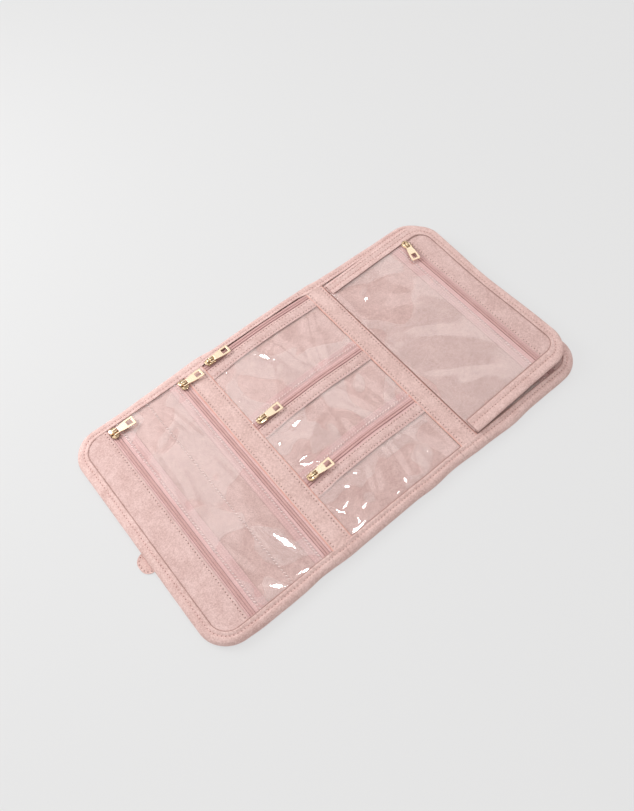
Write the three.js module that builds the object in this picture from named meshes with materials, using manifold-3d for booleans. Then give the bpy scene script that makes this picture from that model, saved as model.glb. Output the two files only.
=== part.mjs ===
import * as THREE from "three";
import { mergeVertices } from "three/addons/utils/BufferGeometryUtils.js";
import Module from "manifold-3d";

// A fold-out jewelry sleeve lying open, inside up: three padded panels joined by two spines,
// a loose page over the right panel, zipped pockets with clear windows, and a closing strap.
// X runs along the row of panels, Y across it, Z up. Lengths are in millimetres.

const wasm = await Module();
wasm.setup();

// Panels and spines
const sleeveWidth = 238;
const leftPanelLength = 123.5;
const leftSpineWidth = 19.5;
const centrePanelLength = 127.5;
const rightSpineWidth = 18.5;
const rightPanelLength = 133.5;
const cornerRadius = 27.5;
const foldGap = 0.3;

// Layers, from the ground up
const lipThickness = 0.8;
const layerGap = 0.3;
const coverThickness = 0.6;
const padThickness = 0.8;
const liningThickness = 0.3;
const pocketDepth = 3.55;
const tapeThickness = 0.3;
const windowThickness = 0.3;
const facingThickness = 0.5;

// Binding round the edges
const bindingWidth = 10;
const farBindingWidth = 7.7;
const bindingWall = 1.5;
const bindingOuterHeight = 6.2;
const bindingInnerDrop = 0.25;
const bindingEdgeRound = 0.6;
const innerLayerInset = 4;

// Zips
const coilWidth = 5;
const coilTopWidth = 4.2;
const coilHeight = 1.7;
const tapeReach = 15;
const shortTapeReach = 13;
const facingTapeReach = 8.4;
const farTapeReach = 3.2;

// Places on the left panel, the first three from its outer edge, the next two from its fold
const leftFacingEdgeInset = 37.5;
const leftOuterCoilInset = 41.5;
const leftWindowStartInset = 47;
const leftWindowEndInset = 10.5;
const leftInnerCoilInset = 5.5;
const leftDividerShare = 0.515;

// Places on the centre panel, from its far edge
const farCoilInset = 11.4;
const farStripInsets = [27.5, 15];

// Places on the centre panel, across it from the middle, far side positive
const middleCoilAt = 26.5;
const nearCoilAt = -46;
const middleStripEdges = [11.5, 23.5];
const nearStripEdges = [-62, -50.5];
const farWindowEndAt = 31;
const middleWindowEndAt = -41;
const farSeamAt = 36.5;
const nearSeamAt = -36;

// Places on the right panel, from its outer edge
const rightFacingEdgeInset = 32;
const rightCoilInset = 36;
const rightWindowEndInset = 43.5;

// Page over the right panel
const pageLength = 131.4;
const pageWidth = 210;
const pageCornerRadius = 27;
const pageTiltDegrees = 3;
const pageHingeInset = 0.3;
const pageLip = 0.5;
const pageWall = 1.2;
const pageBindingWidth = 10;
const pageLayerThickness = 0.4;
const pageLayerSpace = 0.3;
const pageFacingThickness = 0.5;
const pageFacingEdgeInset = 33.2;
const pageCoilInset = 37.4;
const pageWindowEndInset = 44.4;

// Sliders and pulls
const sliderLength = 11.5;
const sliderWidth = 8.4;
const sliderCorner = 2.6;
const sliderPlate = 0.9;
const sliderClearance = 0.3;
const flangeWidth = 1.3;
const flangeDrop = 0.8;
const flangeLength = 9;
const bridgeSpan = 8.2;
const bridgeFoot = 1.4;
const bridgeWidth = 2;
const bridgeOpening = 1.5;
const bridgeBar = 0.7;
const pullThickness = 0.9;
const pullBar = 0.9;
const pullEyeLength = 4.6;
const pullEyeWidth = 4;
const pullArmWidth = 1;
const pullShoulderStart = 5.4;
const pullShoulderEnd = 8.6;
const pullLength = 21.5;
const pullWidth = 9.2;
const pullCorner = 1.6;
const pullWindowStart = 12;
const pullWindowLength = 6.6;
const pullWindowWidth = 4.8;

// Where the sliders rest, from the far edge or, on the centre panel, from the left spine
const leftOuterSliderInset = 18.2;
const leftInnerSliderInset = 16.8;
const centreSliderInset = 9.3;
const pageSliderInset = 18.5;
const rightSliderInset = 18.2;
const pageLeanDegrees = 15;

// Closing strap and its snap
const strapWidth = 20;
const strapReach = 8.5;
const strapY = -15.5;
const strapRootInset = 2.7;
const strapPatchLength = 20;
const snapDiameter = 12;
const snapSetback = 17;
const studAt = 54;

// How finely round shapes are cut
const cornerSteps = 8;
const roundSteps = 28;
const cutOverrun = 1;

// Heights worked out from the layers
const coverBottom = lipThickness + layerGap;
const padBottom = coverBottom + coverThickness + layerGap;
const liningBottom = padBottom + padThickness + layerGap;
const liningTop = liningBottom + liningThickness;
const tapeBottom = liningTop + pocketDepth;
const tapeTop = tapeBottom + tapeThickness;
const sheetBottom = tapeTop + layerGap;
const topHeight = sheetBottom + facingThickness;

// Fold lines worked out from the panel lengths
const panelsLength = leftPanelLength + centrePanelLength + rightPanelLength;
const sleeveLength = panelsLength + leftSpineWidth + rightSpineWidth;
const leftEdge = -sleeveLength / 2;
const leftFold = leftEdge + leftPanelLength;
const leftSpineFold = leftFold + leftSpineWidth;
const rightSpineFold = leftSpineFold + centrePanelLength;
const rightFold = rightSpineFold + rightSpineWidth;
const rightEdge = rightFold + rightPanelLength;
const halfWidth = sleeveWidth / 2;
const halfFoldGap = foldGap / 2;
const innerHalfWidth = halfWidth - bindingWidth - layerGap;

// Materials
function finish(color, roughness, metalness = 0) {
  return new THREE.MeshStandardMaterial({ color, roughness, metalness });
}

const suede = finish(0xe6c3bc, 0.95);
const bindingSuede = finish(0xe0b9b2, 0.95);
const coverSuede = finish(0xdcb4ac, 0.95);
const liningSuede = finish(0xdab4ae, 0.95);
const foam = finish(0xf0ece6, 1);
const zipNylon = finish(0xcf9f9b, 0.7);
const paleGold = finish(0xd9c9a8, 0.3, 1);
const clearVinyl = finish(0xf2e6e4, 0.12);
clearVinyl.transparent = true;
clearVinyl.opacity = 0.35;

// Basic shapes
function block([x0, x1], [y0, y1], [z0, z1]) {
  const geometry = new THREE.BoxGeometry(x1 - x0, y1 - y0, z1 - z0);
  return geometry.translate((x0 + x1) / 2, (y0 + y1) / 2, (z0 + z1) / 2);
}

function sheet(shape, [z0, z1], steps = cornerSteps) {
  const settings = { depth: z1 - z0, bevelEnabled: false, curveSegments: steps };
  return new THREE.ExtrudeGeometry(shape, settings).translate(0, 0, z0);
}

function disc(radius, [z0, z1]) {
  const profile = [
    new THREE.Vector2(0, z0),
    new THREE.Vector2(radius, z0),
    new THREE.Vector2(radius, z1),
    new THREE.Vector2(0, z1),
  ];
  return new THREE.LatheGeometry(profile, roundSteps).rotateX(Math.PI / 2);
}

// Cutting and joining
function toSolid(geometry) {
  const bare = geometry.clone();
  bare.deleteAttribute("normal");
  bare.deleteAttribute("uv");
  const merged = mergeVertices(bare);
  const vertProperties = new Float32Array(merged.attributes.position.array);
  const triVerts = new Uint32Array(merged.index.array);
  return new wasm.Manifold(new wasm.Mesh({ numProp: 3, vertProperties, triVerts }));
}

function toGeometry(solid) {
  const mesh = solid.getMesh();
  const geometry = new THREE.BufferGeometry();
  geometry.setAttribute("position", new THREE.BufferAttribute(new Float32Array(mesh.vertProperties), 3));
  geometry.setIndex(new THREE.BufferAttribute(new Uint32Array(mesh.triVerts), 1));
  return geometry;
}

function joined(first, ...others) {
  const whole = others.reduce((solid, other) => solid.add(toSolid(other)), toSolid(first));
  return toGeometry(whole);
}

function cut(body, ...tools) {
  const rest = tools.reduce((solid, tool) => solid.subtract(toSolid(tool)), toSolid(body));
  return toGeometry(rest);
}

// Outline of a panel with its two outer corners rounded; side is 1 at the right, -1 at the left
function panelOutline(side, openX, closedX, halfSpan, radius) {
  const start = -side * Math.PI / 2;
  const middle = start + Math.PI / 2;
  const arcX = closedX - side * radius;
  const arcY = side * (halfSpan - radius);
  const outline = new THREE.Shape();
  outline.moveTo(openX, -side * halfSpan);
  outline.lineTo(arcX, -side * halfSpan);
  outline.absarc(arcX, -arcY, radius, start, middle, false);
  outline.absarc(arcX, arcY, radius, middle, middle + Math.PI / 2, false);
  outline.lineTo(openX, side * halfSpan);
  outline.closePath();
  return outline;
}

// Path of the binding round such a panel, with the direction that points into the panel
function panelEdgePath(side, openX, closedX, halfSpan, radius) {
  const start = -side * Math.PI / 2;
  const arcX = closedX - side * radius;
  const arcY = side * (halfSpan - radius);
  const path = [edgePoint(openX, -side * (halfSpan - radius), radius, start)];
  for (const [centreY, from] of [[-arcY, start], [arcY, start + Math.PI / 2]]) {
    for (let step = 0; step <= cornerSteps; step += 1) {
      const angle = from + (Math.PI / 2) * (step / cornerSteps);
      path.push(edgePoint(arcX, centreY, radius, angle));
    }
  }
  path.push(edgePoint(openX, side * (halfSpan - radius), radius, start + Math.PI));
  return path;
}

function edgePoint(centreX, centreY, radius, angle) {
  const outward = new THREE.Vector2(Math.cos(angle), Math.sin(angle));
  const point = new THREE.Vector2(centreX, centreY).addScaledVector(outward, radius);
  return { point, inward: outward.negate() };
}

// Path of a straight length of binding on the far (1) or near (-1) side
function straightEdgePath(side, fromX, toX) {
  const inward = new THREE.Vector2(0, -side);
  const ends = side > 0 ? [toX, fromX] : [fromX, toX];
  return ends.map((x) => ({ point: new THREE.Vector2(x, side * halfWidth), inward }));
}

// A section of depths and heights swept along such a path
function sweepSection(path, section) {
  const count = section.length;
  const positions = [];
  for (const { point, inward } of path) {
    for (const corner of section) {
      positions.push(point.x + inward.x * corner.x, point.y + inward.y * corner.x, corner.y);
    }
  }
  const indices = [];
  for (let ring = 0; ring + 1 < path.length; ring += 1) {
    for (let corner = 0; corner < count; corner += 1) {
      const next = (corner + 1) % count;
      const a = ring * count + corner;
      const b = ring * count + next;
      indices.push(a, b, b + count, a, b + count, a + count);
    }
  }
  const last = (path.length - 1) * count;
  for (const [a, b, c] of THREE.ShapeUtils.triangulateShape(section, [])) {
    indices.push(c, b, a, last + a, last + b, last + c);
  }
  const geometry = new THREE.BufferGeometry();
  geometry.setAttribute("position", new THREE.Float32BufferAttribute(positions, 3));
  geometry.setIndex(indices);
  return geometry;
}

// Binding: a lip under the cover, a slot that holds the layers' edges, and a roll that closes the pockets
function bindingSection(width) {
  const innerTop = topHeight - bindingInnerDrop;
  const slotTop = liningTop + layerGap;
  return [
    new THREE.Vector2(bindingEdgeRound, 0),
    new THREE.Vector2(bindingWidth, 0),
    new THREE.Vector2(bindingWidth, lipThickness),
    new THREE.Vector2(bindingWall, lipThickness),
    new THREE.Vector2(bindingWall, slotTop),
    new THREE.Vector2(width, slotTop),
    new THREE.Vector2(width, innerTop),
    new THREE.Vector2(bindingWall, bindingOuterHeight),
    new THREE.Vector2(0, bindingOuterHeight - bindingEdgeRound - bindingEdgeRound),
    new THREE.Vector2(0, bindingEdgeRound),
  ];
}

// Binding of the thin page
const pageThickness = pageLip + pageLayerSpace + pageLayerThickness + pageLayerSpace + tapeThickness
  + pageLayerSpace + pageFacingThickness + pageLayerSpace + pageLip;

function pageBindingSection() {
  return [
    new THREE.Vector2(pageLip, 0),
    new THREE.Vector2(pageBindingWidth, 0),
    new THREE.Vector2(pageBindingWidth, pageLip),
    new THREE.Vector2(pageWall, pageLip),
    new THREE.Vector2(pageWall, pageThickness - pageLip),
    new THREE.Vector2(pageBindingWidth, pageThickness - pageLip),
    new THREE.Vector2(pageBindingWidth, pageThickness),
    new THREE.Vector2(pageLip, pageThickness),
    new THREE.Vector2(0, pageThickness - pageLip),
    new THREE.Vector2(0, pageLip),
  ];
}

// Zip tape with its coil, cut across the zip; near and far are the two reaches of the tape
function zipSection(nearReach, farReach, bottom) {
  const section = new THREE.Shape();
  const top = bottom + tapeThickness;
  section.moveTo(-nearReach, bottom);
  section.lineTo(farReach, bottom);
  section.lineTo(farReach, top);
  section.lineTo(coilWidth / 2, top);
  section.lineTo(coilTopWidth / 2, top + coilHeight);
  section.lineTo(-coilTopWidth / 2, top + coilHeight);
  section.lineTo(-coilWidth / 2, top);
  section.lineTo(-nearReach, top);
  section.closePath();
  return section;
}

// A zip that runs along Y, its coil at one X
function zipAcross(coilX, leftReach, rightReach, halfRun, bottom) {
  const run = 2 * halfRun;
  const settings = { depth: run, bevelEnabled: false };
  const geometry = new THREE.ExtrudeGeometry(zipSection(leftReach, rightReach, bottom), settings);
  return geometry.rotateX(Math.PI / 2).translate(coilX, halfRun, 0);
}

// A zip that runs along X, its coil at one Y
function zipAlong(coilY, nearReach, farReach, [x0, x1]) {
  const settings = { depth: x1 - x0, bevelEnabled: false };
  const geometry = new THREE.ExtrudeGeometry(zipSection(nearReach, farReach, tapeBottom), settings);
  return geometry.rotateX(Math.PI / 2).rotateZ(Math.PI / 2).translate(x0, coilY, 0);
}

// Slider, made with its pull pointing along X and the tape's top at zero height
const sliderPlateBottom = coilHeight + sliderClearance;
const sliderPlateTop = sliderPlateBottom + sliderPlate;
const pullAxisHeight = sliderPlateTop + bridgeOpening / 2;

function roundedRectangle([x0, x1], [y0, y1], radius) {
  const outline = new THREE.Shape();
  const quarter = Math.PI / 2;
  outline.absarc(x1 - radius, y1 - radius, radius, 0, quarter, false);
  outline.absarc(x0 + radius, y1 - radius, radius, quarter, Math.PI, false);
  outline.absarc(x0 + radius, y0 + radius, radius, Math.PI, Math.PI + quarter, false);
  outline.absarc(x1 - radius, y0 + radius, radius, Math.PI + quarter, 2 * Math.PI, false);
  outline.closePath();
  return outline;
}

function sliderShape(zipTurn) {
  const halfLength = sliderLength / 2;
  const halfSliderWidth = sliderWidth / 2;
  const halfBridge = bridgeWidth / 2;
  const halfSpan = bridgeSpan / 2;
  const plateOutline = roundedRectangle([-halfLength, halfLength], [-halfSliderWidth, halfSliderWidth],
    sliderCorner);
  const plate = sheet(plateOutline, [sliderPlateBottom, sliderPlateTop]);
  const parts = [plate];
  for (const side of [-1, 1]) {
    const edges = [side * halfSliderWidth, side * (halfSliderWidth - flangeWidth)].sort((a, b) => a - b);
    const reach = flangeLength / 2;
    parts.push(block([-reach, reach], edges, [sliderPlateBottom - flangeDrop, sliderPlateTop]));
  }
  const body = joined(...parts).rotateZ(zipTurn);
  const barBottom = sliderPlateTop + bridgeOpening;
  const barTop = barBottom + bridgeBar;
  const bridge = [block([-halfSpan, halfSpan], [-halfBridge, halfBridge], [barBottom, barTop])];
  for (const side of [-1, 1]) {
    const edges = [side * halfSpan, side * (halfSpan - bridgeFoot)].sort((a, b) => a - b);
    bridge.push(block(edges, [-halfBridge, halfBridge], [sliderPlateBottom, barTop]));
  }
  return joined(body, ...bridge);
}

// Pull, with its crossbar on the hinge axis at the origin and its plate along X
function pullShape() {
  const eyeEdge = pullEyeWidth / 2;
  const armEdge = eyeEdge + pullArmWidth;
  const half = pullWidth / 2;
  const outline = new THREE.Shape();
  outline.moveTo(-pullBar / 2, -armEdge);
  outline.lineTo(pullShoulderStart, -armEdge);
  outline.lineTo(pullShoulderEnd, -half);
  outline.absarc(pullLength - pullCorner, -half + pullCorner, pullCorner, -Math.PI / 2, 0, false);
  outline.absarc(pullLength - pullCorner, half - pullCorner, pullCorner, 0, Math.PI / 2, false);
  outline.lineTo(pullShoulderEnd, half);
  outline.lineTo(pullShoulderStart, armEdge);
  outline.lineTo(-pullBar / 2, armEdge);
  outline.closePath();
  outline.holes.push(openingPath([pullBar / 2, pullEyeLength], eyeEdge));
  outline.holes.push(openingPath([pullWindowStart, pullWindowStart + pullWindowLength], pullWindowWidth / 2));
  return sheet(outline, [-pullThickness / 2, pullThickness / 2]);
}

function openingPath([x0, x1], halfSpan) {
  const path = new THREE.Path();
  path.moveTo(x0, -halfSpan);
  path.lineTo(x0, halfSpan);
  path.lineTo(x1, halfSpan);
  path.lineTo(x1, -halfSpan);
  path.closePath();
  return path;
}

// The whole sleeve; its origin is under the middle of its outline, strap included
const sleeve = new THREE.Group();
sleeve.position.x = strapReach / 2;

function addPiece(name, geometry, material, home = sleeve) {
  const piece = new THREE.Mesh(geometry, material);
  piece.name = name;
  home.add(piece);
  return piece;
}

// One slider and its pull; direction is the way the pull points, zipTurn the way the zip runs
function addSlider(label, [x, y, z], directionDegrees, zipTurn, home = sleeve) {
  const place = new THREE.Group();
  place.position.set(x, y, z);
  place.rotation.z = THREE.MathUtils.degToRad(directionDegrees);
  home.add(place);
  addPiece(`slider_${label}`, sliderShape(zipTurn), paleGold, place);
  addPiece(`pull_${label}`, pullShape(), paleGold, place).position.z = pullAxisHeight;
}

// Cover, pad and binding that every padded panel has
function addEndPanel(label, side, foldX, edgeX) {
  const openX = foldX + side * halfFoldGap;
  const edgePath = panelEdgePath(side, openX, edgeX, halfWidth, cornerRadius);
  const coverInset = bindingWall + layerGap;
  const coverOutline = insetOutline(side, openX, edgeX, coverInset);
  const padOutline = insetOutline(side, openX, edgeX, innerLayerInset);
  addPiece(`cover_${label}`, sheet(coverOutline, [coverBottom, coverBottom + coverThickness]), coverSuede);
  addPiece(`pad_${label}`, sheet(padOutline, [padBottom, padBottom + padThickness]), foam);
  return sweepSection(edgePath, bindingSection(bindingWidth));
}

function insetOutline(side, openX, edgeX, inset) {
  return panelOutline(side, openX, edgeX - side * inset, halfWidth - inset, cornerRadius - inset);
}

// Seams that hold the lining up against the tapes at the folds
const seamWidth = 1;
const foldSeamTop = tapeBottom - layerGap;
const windowSeamTop = sheetBottom - layerGap;

function foldSeam(foldX, side) {
  const outer = foldX + side * halfFoldGap;
  const edges = [outer, outer + side * seamWidth].sort((a, b) => a - b);
  return block(edges, [-innerHalfWidth, innerHalfWidth], [liningBottom, foldSeamTop]);
}

// Left panel
function addLeftPanel() {
  const binding = addEndPanel("left", -1, leftFold, leftEdge);
  const notch = block(
    [leftEdge - cutOverrun, leftEdge + bindingWidth + cutOverrun],
    [strapY - strapWidth / 2 - layerGap, strapY + strapWidth / 2 + layerGap],
    [-cutOverrun, lipThickness + layerGap],
  );
  addPiece("binding_left", cut(binding, notch), bindingSuede);

  const openX = leftFold - halfFoldGap;
  const liningOutline = insetOutline(-1, openX, leftEdge, innerLayerInset);
  const windowSpan = [leftEdge + leftWindowStartInset, leftFold - leftWindowEndInset];
  const dividerX = THREE.MathUtils.lerp(...windowSpan, leftDividerShare);
  const divider = block(
    [dividerX - seamWidth / 2, dividerX + seamWidth / 2],
    [-innerHalfWidth, innerHalfWidth],
    [liningBottom, windowSeamTop],
  );
  const lining = joined(sheet(liningOutline, [liningBottom, liningTop]), foldSeam(leftFold, -1), divider);
  addPiece("lining_left", lining, liningSuede);

  const inset = bindingWidth + layerGap;
  const facingEdge = leftEdge + leftFacingEdgeInset;
  const facingOutline = panelOutline(-1, facingEdge, leftEdge + inset, innerHalfWidth, cornerRadius - inset);
  addPiece("facing_left", sheet(facingOutline, [sheetBottom, topHeight]), suede);

  addPiece("window_left", windowSheet(windowSpan, [-innerHalfWidth, innerHalfWidth]), clearVinyl);

  const outerCoil = leftEdge + leftOuterCoilInset;
  const innerCoil = leftFold - leftInnerCoilInset;
  const outerZip = zipAcross(outerCoil, facingTapeReach, tapeReach, innerHalfWidth, tapeBottom);
  const innerZip = zipAcross(innerCoil, shortTapeReach, openX - innerCoil, innerHalfWidth, tapeBottom);
  addPiece("zip_left_outer", outerZip, zipNylon);
  addPiece("zip_left_inner", innerZip, zipNylon);
  addSlider("left_outer", [outerCoil, halfWidth - leftOuterSliderInset, tapeTop], 0, Math.PI / 2);
  addSlider("left_inner", [innerCoil, halfWidth - leftInnerSliderInset, tapeTop], 0, Math.PI / 2);
}

function windowSheet(xSpan, ySpan) {
  return block(xSpan, ySpan, [sheetBottom, sheetBottom + windowThickness]);
}

// Spines: a padded strip over a cover, bound at the far and near ends
function addSpine(label, fromX, toX) {
  const span = [fromX + halfFoldGap, toX - halfFoldGap];
  const coverHalf = halfWidth - bindingWall - layerGap;
  const cover = block(span, [-coverHalf, coverHalf], [coverBottom, coverBottom + coverThickness]);
  const strip = block(span, [-innerHalfWidth, innerHalfWidth], [padBottom, topHeight]);
  addPiece(`cover_spine_${label}`, cover, coverSuede);
  addPiece(`strip_spine_${label}`, strip, suede);
  addPiece(`binding_spine_${label}_far`, straightBinding(1, span, bindingWidth), bindingSuede);
  addPiece(`binding_spine_${label}_near`, straightBinding(-1, span, bindingWidth), bindingSuede);
}

function straightBinding(side, [fromX, toX], width) {
  return sweepSection(straightEdgePath(side, fromX, toX), bindingSection(width));
}

// Centre panel
function addCentrePanel() {
  const span = [leftSpineFold + halfFoldGap, rightSpineFold - halfFoldGap];
  const coverHalf = halfWidth - bindingWall - layerGap;
  const layerHalf = halfWidth - innerLayerInset;
  const cover = block(span, [-coverHalf, coverHalf], [coverBottom, coverBottom + coverThickness]);
  const pad = block(span, [-layerHalf, layerHalf], [padBottom, padBottom + padThickness]);
  addPiece("cover_centre", cover, coverSuede);
  addPiece("pad_centre", pad, foam);
  addPiece("binding_centre_far", straightBinding(1, span, farBindingWidth), bindingSuede);
  addPiece("binding_centre_near", straightBinding(-1, span, bindingWidth), bindingSuede);

  const seams = [farSeamAt, nearSeamAt].map((y) => (
    block(span, [y - seamWidth / 2, y + seamWidth / 2], [liningBottom, foldSeamTop])
  ));
  const floor = block(span, [-layerHalf, layerHalf], [liningBottom, liningTop]);
  const lining = joined(floor, foldSeam(leftSpineFold, 1), foldSeam(rightSpineFold, -1), ...seams);
  addPiece("lining_centre", lining, liningSuede);

  const farStripEdges = farStripInsets.map((edgeInset) => halfWidth - edgeInset);
  const rows = [
    ["far", halfWidth - farCoilInset, [farTapeReach, shortTapeReach], farStripEdges, farWindowEndAt],
    ["middle", middleCoilAt, [shortTapeReach, shortTapeReach], middleStripEdges, middleWindowEndAt],
    ["near", nearCoilAt, [shortTapeReach, shortTapeReach], nearStripEdges, -innerHalfWidth],
  ];
  for (const [label, coilY, [farReach, nearReach], [stripLow, stripHigh], windowEnd] of rows) {
    addPiece(`zip_centre_${label}`, zipAlong(coilY, nearReach, farReach, span), zipNylon);
    const strip = block(span, [stripLow, stripHigh], [sheetBottom, topHeight]);
    addPiece(`strip_centre_${label}`, strip, suede);
    addPiece(`window_centre_${label}`, windowSheet(span, [windowEnd, stripLow - layerGap]), clearVinyl);
    addSlider(`centre_${label}`, [leftSpineFold + centreSliderInset, coilY, tapeTop], 0, 0);
  }
}

// Right panel
function addRightPanel() {
  addPiece("binding_right", addEndPanel("right", 1, rightFold, rightEdge), bindingSuede);
  const openX = rightFold + halfFoldGap;
  const liningOutline = insetOutline(1, openX, rightEdge, innerLayerInset);
  const lining = joined(sheet(liningOutline, [liningBottom, liningTop]), foldSeam(rightFold, 1));
  addPiece("lining_right", lining, liningSuede);

  const inset = bindingWidth + layerGap;
  const facingEdge = rightEdge - rightFacingEdgeInset;
  const facingOutline = panelOutline(1, facingEdge, rightEdge - inset, innerHalfWidth, cornerRadius - inset);
  addPiece("facing_right", sheet(facingOutline, [sheetBottom, topHeight]), suede);
  const windowSpan = [openX, rightEdge - rightWindowEndInset];
  addPiece("window_right", windowSheet(windowSpan, [-innerHalfWidth, innerHalfWidth]), clearVinyl);

  const coilX = rightEdge - rightCoilInset;
  addPiece("zip_right", zipAcross(coilX, tapeReach, facingTapeReach, innerHalfWidth, tapeBottom), zipNylon);
  addSlider("right", [coilX, halfWidth - rightSliderInset, tapeTop], -90, 0);

  const stud = disc(snapDiameter / 2, [0, lipThickness]);
  stud.translate(rightFold + studAt, strapY, 0);
  addPiece("snap_stud", stud, paleGold);
}

// Loose page over the right panel, tilted up from its fold
function addPage() {
  const page = new THREE.Group();
  page.position.set(rightFold + pageHingeInset, 0, topHeight + layerGap);
  page.rotation.y = -THREE.MathUtils.degToRad(pageTiltDegrees);
  sleeve.add(page);

  const halfPage = pageWidth / 2;
  const edgePath = panelEdgePath(1, 0, pageLength, halfPage, pageCornerRadius);
  addPiece("binding_page", sweepSection(edgePath, pageBindingSection()), bindingSuede, page);

  const inset = pageWall + layerGap;
  const layerHalf = halfPage - inset;
  const layerRadius = pageCornerRadius - inset;
  const liningLow = pageLip + pageLayerSpace;
  const liningHigh = liningLow + pageLayerThickness;
  const pageTape = liningHigh + pageLayerSpace;
  const pageSheet = pageTape + tapeThickness + pageLayerSpace;
  const liningOutline = panelOutline(1, 0, pageLength - inset, layerHalf, layerRadius);
  const foldWall = block([0, seamWidth], [-layerHalf, layerHalf], [liningLow, pageSheet - layerGap]);
  addPiece("lining_page", joined(sheet(liningOutline, [liningLow, liningHigh]), foldWall), liningSuede, page);

  const facingStart = pageLength - pageFacingEdgeInset;
  const facingOutline = panelOutline(1, facingStart, pageLength - inset, layerHalf, layerRadius);
  addPiece("facing_page", sheet(facingOutline, [pageSheet, pageSheet + pageFacingThickness]), suede, page);
  const windowSpan = [0, pageLength - pageWindowEndInset];
  const vinyl = block(windowSpan, [-layerHalf, layerHalf], [pageSheet, pageSheet + windowThickness]);
  addPiece("window_page", vinyl, clearVinyl, page);

  const halfRun = halfPage - pageBindingWidth - layerGap;
  const coilX = pageLength - pageCoilInset;
  addPiece("zip_page", zipAcross(coilX, tapeReach, facingTapeReach, halfRun, pageTape), zipNylon, page);
  const sliderHeight = pageTape + tapeThickness;
  addSlider("page", [coilX, halfPage - pageSliderInset, sliderHeight], -90 - pageLeanDegrees,
    THREE.MathUtils.degToRad(pageLeanDegrees), page);
}

// Closing strap under the left panel, sewn to the centre panel's outside
function addStrap() {
  const rootX = leftSpineFold + strapRootInset;
  const tipX = leftEdge - strapReach;
  const half = strapWidth / 2;
  const arcX = tipX + half;
  const outline = new THREE.Shape();
  outline.moveTo(rootX, strapY + half);
  outline.lineTo(arcX, strapY + half);
  outline.absarc(arcX, strapY, half, Math.PI / 2, (3 * Math.PI) / 2, false);
  outline.lineTo(rootX, strapY - half);
  outline.closePath();
  const snapX = tipX + snapSetback;
  const snap = disc(snapDiameter / 2, [0, lipThickness]).translate(snapX, strapY, 0);
  const holeRadius = snapDiameter / 2 + layerGap;
  const hole = disc(holeRadius, [-cutOverrun, lipThickness + cutOverrun]).translate(snapX, strapY, 0);
  addPiece("closing_strap", cut(sheet(outline, [0, lipThickness], roundSteps), hole), coverSuede);
  addPiece("snap_cap", snap, paleGold);

  const patchStart = rootX + layerGap;
  const patch = block([patchStart, patchStart + strapPatchLength], [strapY - half, strapY + half],
    [0, lipThickness]);
  addPiece("strap_patch", patch, coverSuede);
}

addLeftPanel();
addSpine("left", leftFold, leftSpineFold);
addCentrePanel();
addSpine("right", rightSpineFold, rightFold);
addRightPanel();
addPage();
addStrap();

export default sleeve;
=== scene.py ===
import bpy
import bmesh
import math
from mathutils import Matrix, Vector, noise


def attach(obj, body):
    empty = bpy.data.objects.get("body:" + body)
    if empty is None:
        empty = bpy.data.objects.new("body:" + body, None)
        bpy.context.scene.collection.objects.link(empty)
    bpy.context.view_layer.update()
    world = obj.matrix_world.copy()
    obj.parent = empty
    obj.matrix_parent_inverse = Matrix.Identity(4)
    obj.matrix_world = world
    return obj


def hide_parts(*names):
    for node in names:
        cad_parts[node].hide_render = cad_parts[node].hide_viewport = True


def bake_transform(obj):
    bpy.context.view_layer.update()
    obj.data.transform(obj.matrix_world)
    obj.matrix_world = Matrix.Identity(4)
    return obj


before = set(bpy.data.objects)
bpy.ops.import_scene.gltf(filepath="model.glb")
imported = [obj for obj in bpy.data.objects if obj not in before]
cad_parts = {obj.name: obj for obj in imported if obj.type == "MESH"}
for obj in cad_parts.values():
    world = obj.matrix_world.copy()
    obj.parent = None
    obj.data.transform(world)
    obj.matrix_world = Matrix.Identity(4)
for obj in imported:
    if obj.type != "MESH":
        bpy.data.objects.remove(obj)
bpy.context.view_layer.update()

# Lengths below are in millimetres, from the middle of the open sleeve
mm = 0.001
layout = {
    "leftEdge": -207.0, "leftFold": -83.5, "leftSpineFold": -64.0,
    "rightSpineFold": 63.5, "rightFold": 82.0, "rightEdge": 215.5,
    "half": 119.0, "corner": 27.5,
    "foldReach": 5.0,       # the cloth over a fold starts this far from it
    "hingeReach": 4.0, "hingeHeight": 0.008,    # a span either side of a fold and a height in metres; blendAtFold works them out and uses them no further
}
half, reach = layout["half"], layout["foldReach"]
spineLeftMiddle = (layout["leftFold"] + layout["leftSpineFold"]) / 2
spineRightMiddle = (layout["rightFold"] + layout["rightSpineFold"]) / 2


def blendStep(start, end, value):
    t = min(max((value - start) / (end - start), 0.0), 1.0)
    return t * t * (3 - 2 * t)


def bump(value, centre, width):
    return math.exp(-((value - centre) / width) ** 2)


def drift(x, y, size, seed=0.0):    # slow unevenness of cloth, from -1 to 1
    return noise.noise(Vector((x / size + seed, y / size - seed, seed * 0.37)))


# Camera, set up from the lines of the sleeve in the photograph
cameraView = {"target": (-7.36, 6.25, 7.0), "distance": 672.0, "roll": -3.785, "lens": 32.69}
lookWay = Vector((0.2831, 0.3903, -0.8761)).normalized()
levelRight = lookWay.cross(Vector((0, 0, 1))).normalized()
levelUp = levelRight.cross(lookWay)
rollAngle = math.radians(cameraView["roll"])
viewRight = levelRight * math.cos(rollAngle) + levelUp * math.sin(rollAngle)
viewUp = levelUp * math.cos(rollAngle) - levelRight * math.sin(rollAngle)
cameraData = bpy.data.cameras.new("camera")
cameraData.sensor_fit, cameraData.sensor_width = "AUTO", 36
cameraData.lens = cameraView["lens"]
cameraData.clip_start, cameraData.clip_end = 0.01, 20
cameraPiece = bpy.data.objects.new("camera", cameraData)
bpy.context.collection.objects.link(cameraPiece)
cameraAt = (Vector(cameraView["target"]) - lookWay * cameraView["distance"]) * mm
cameraTurn = Matrix((viewRight, viewUp, -lookWay)).transposed().to_4x4()
cameraPiece.matrix_world = Matrix.Translation(cameraAt) @ cameraTurn
bpy.context.scene.camera = cameraPiece
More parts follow.
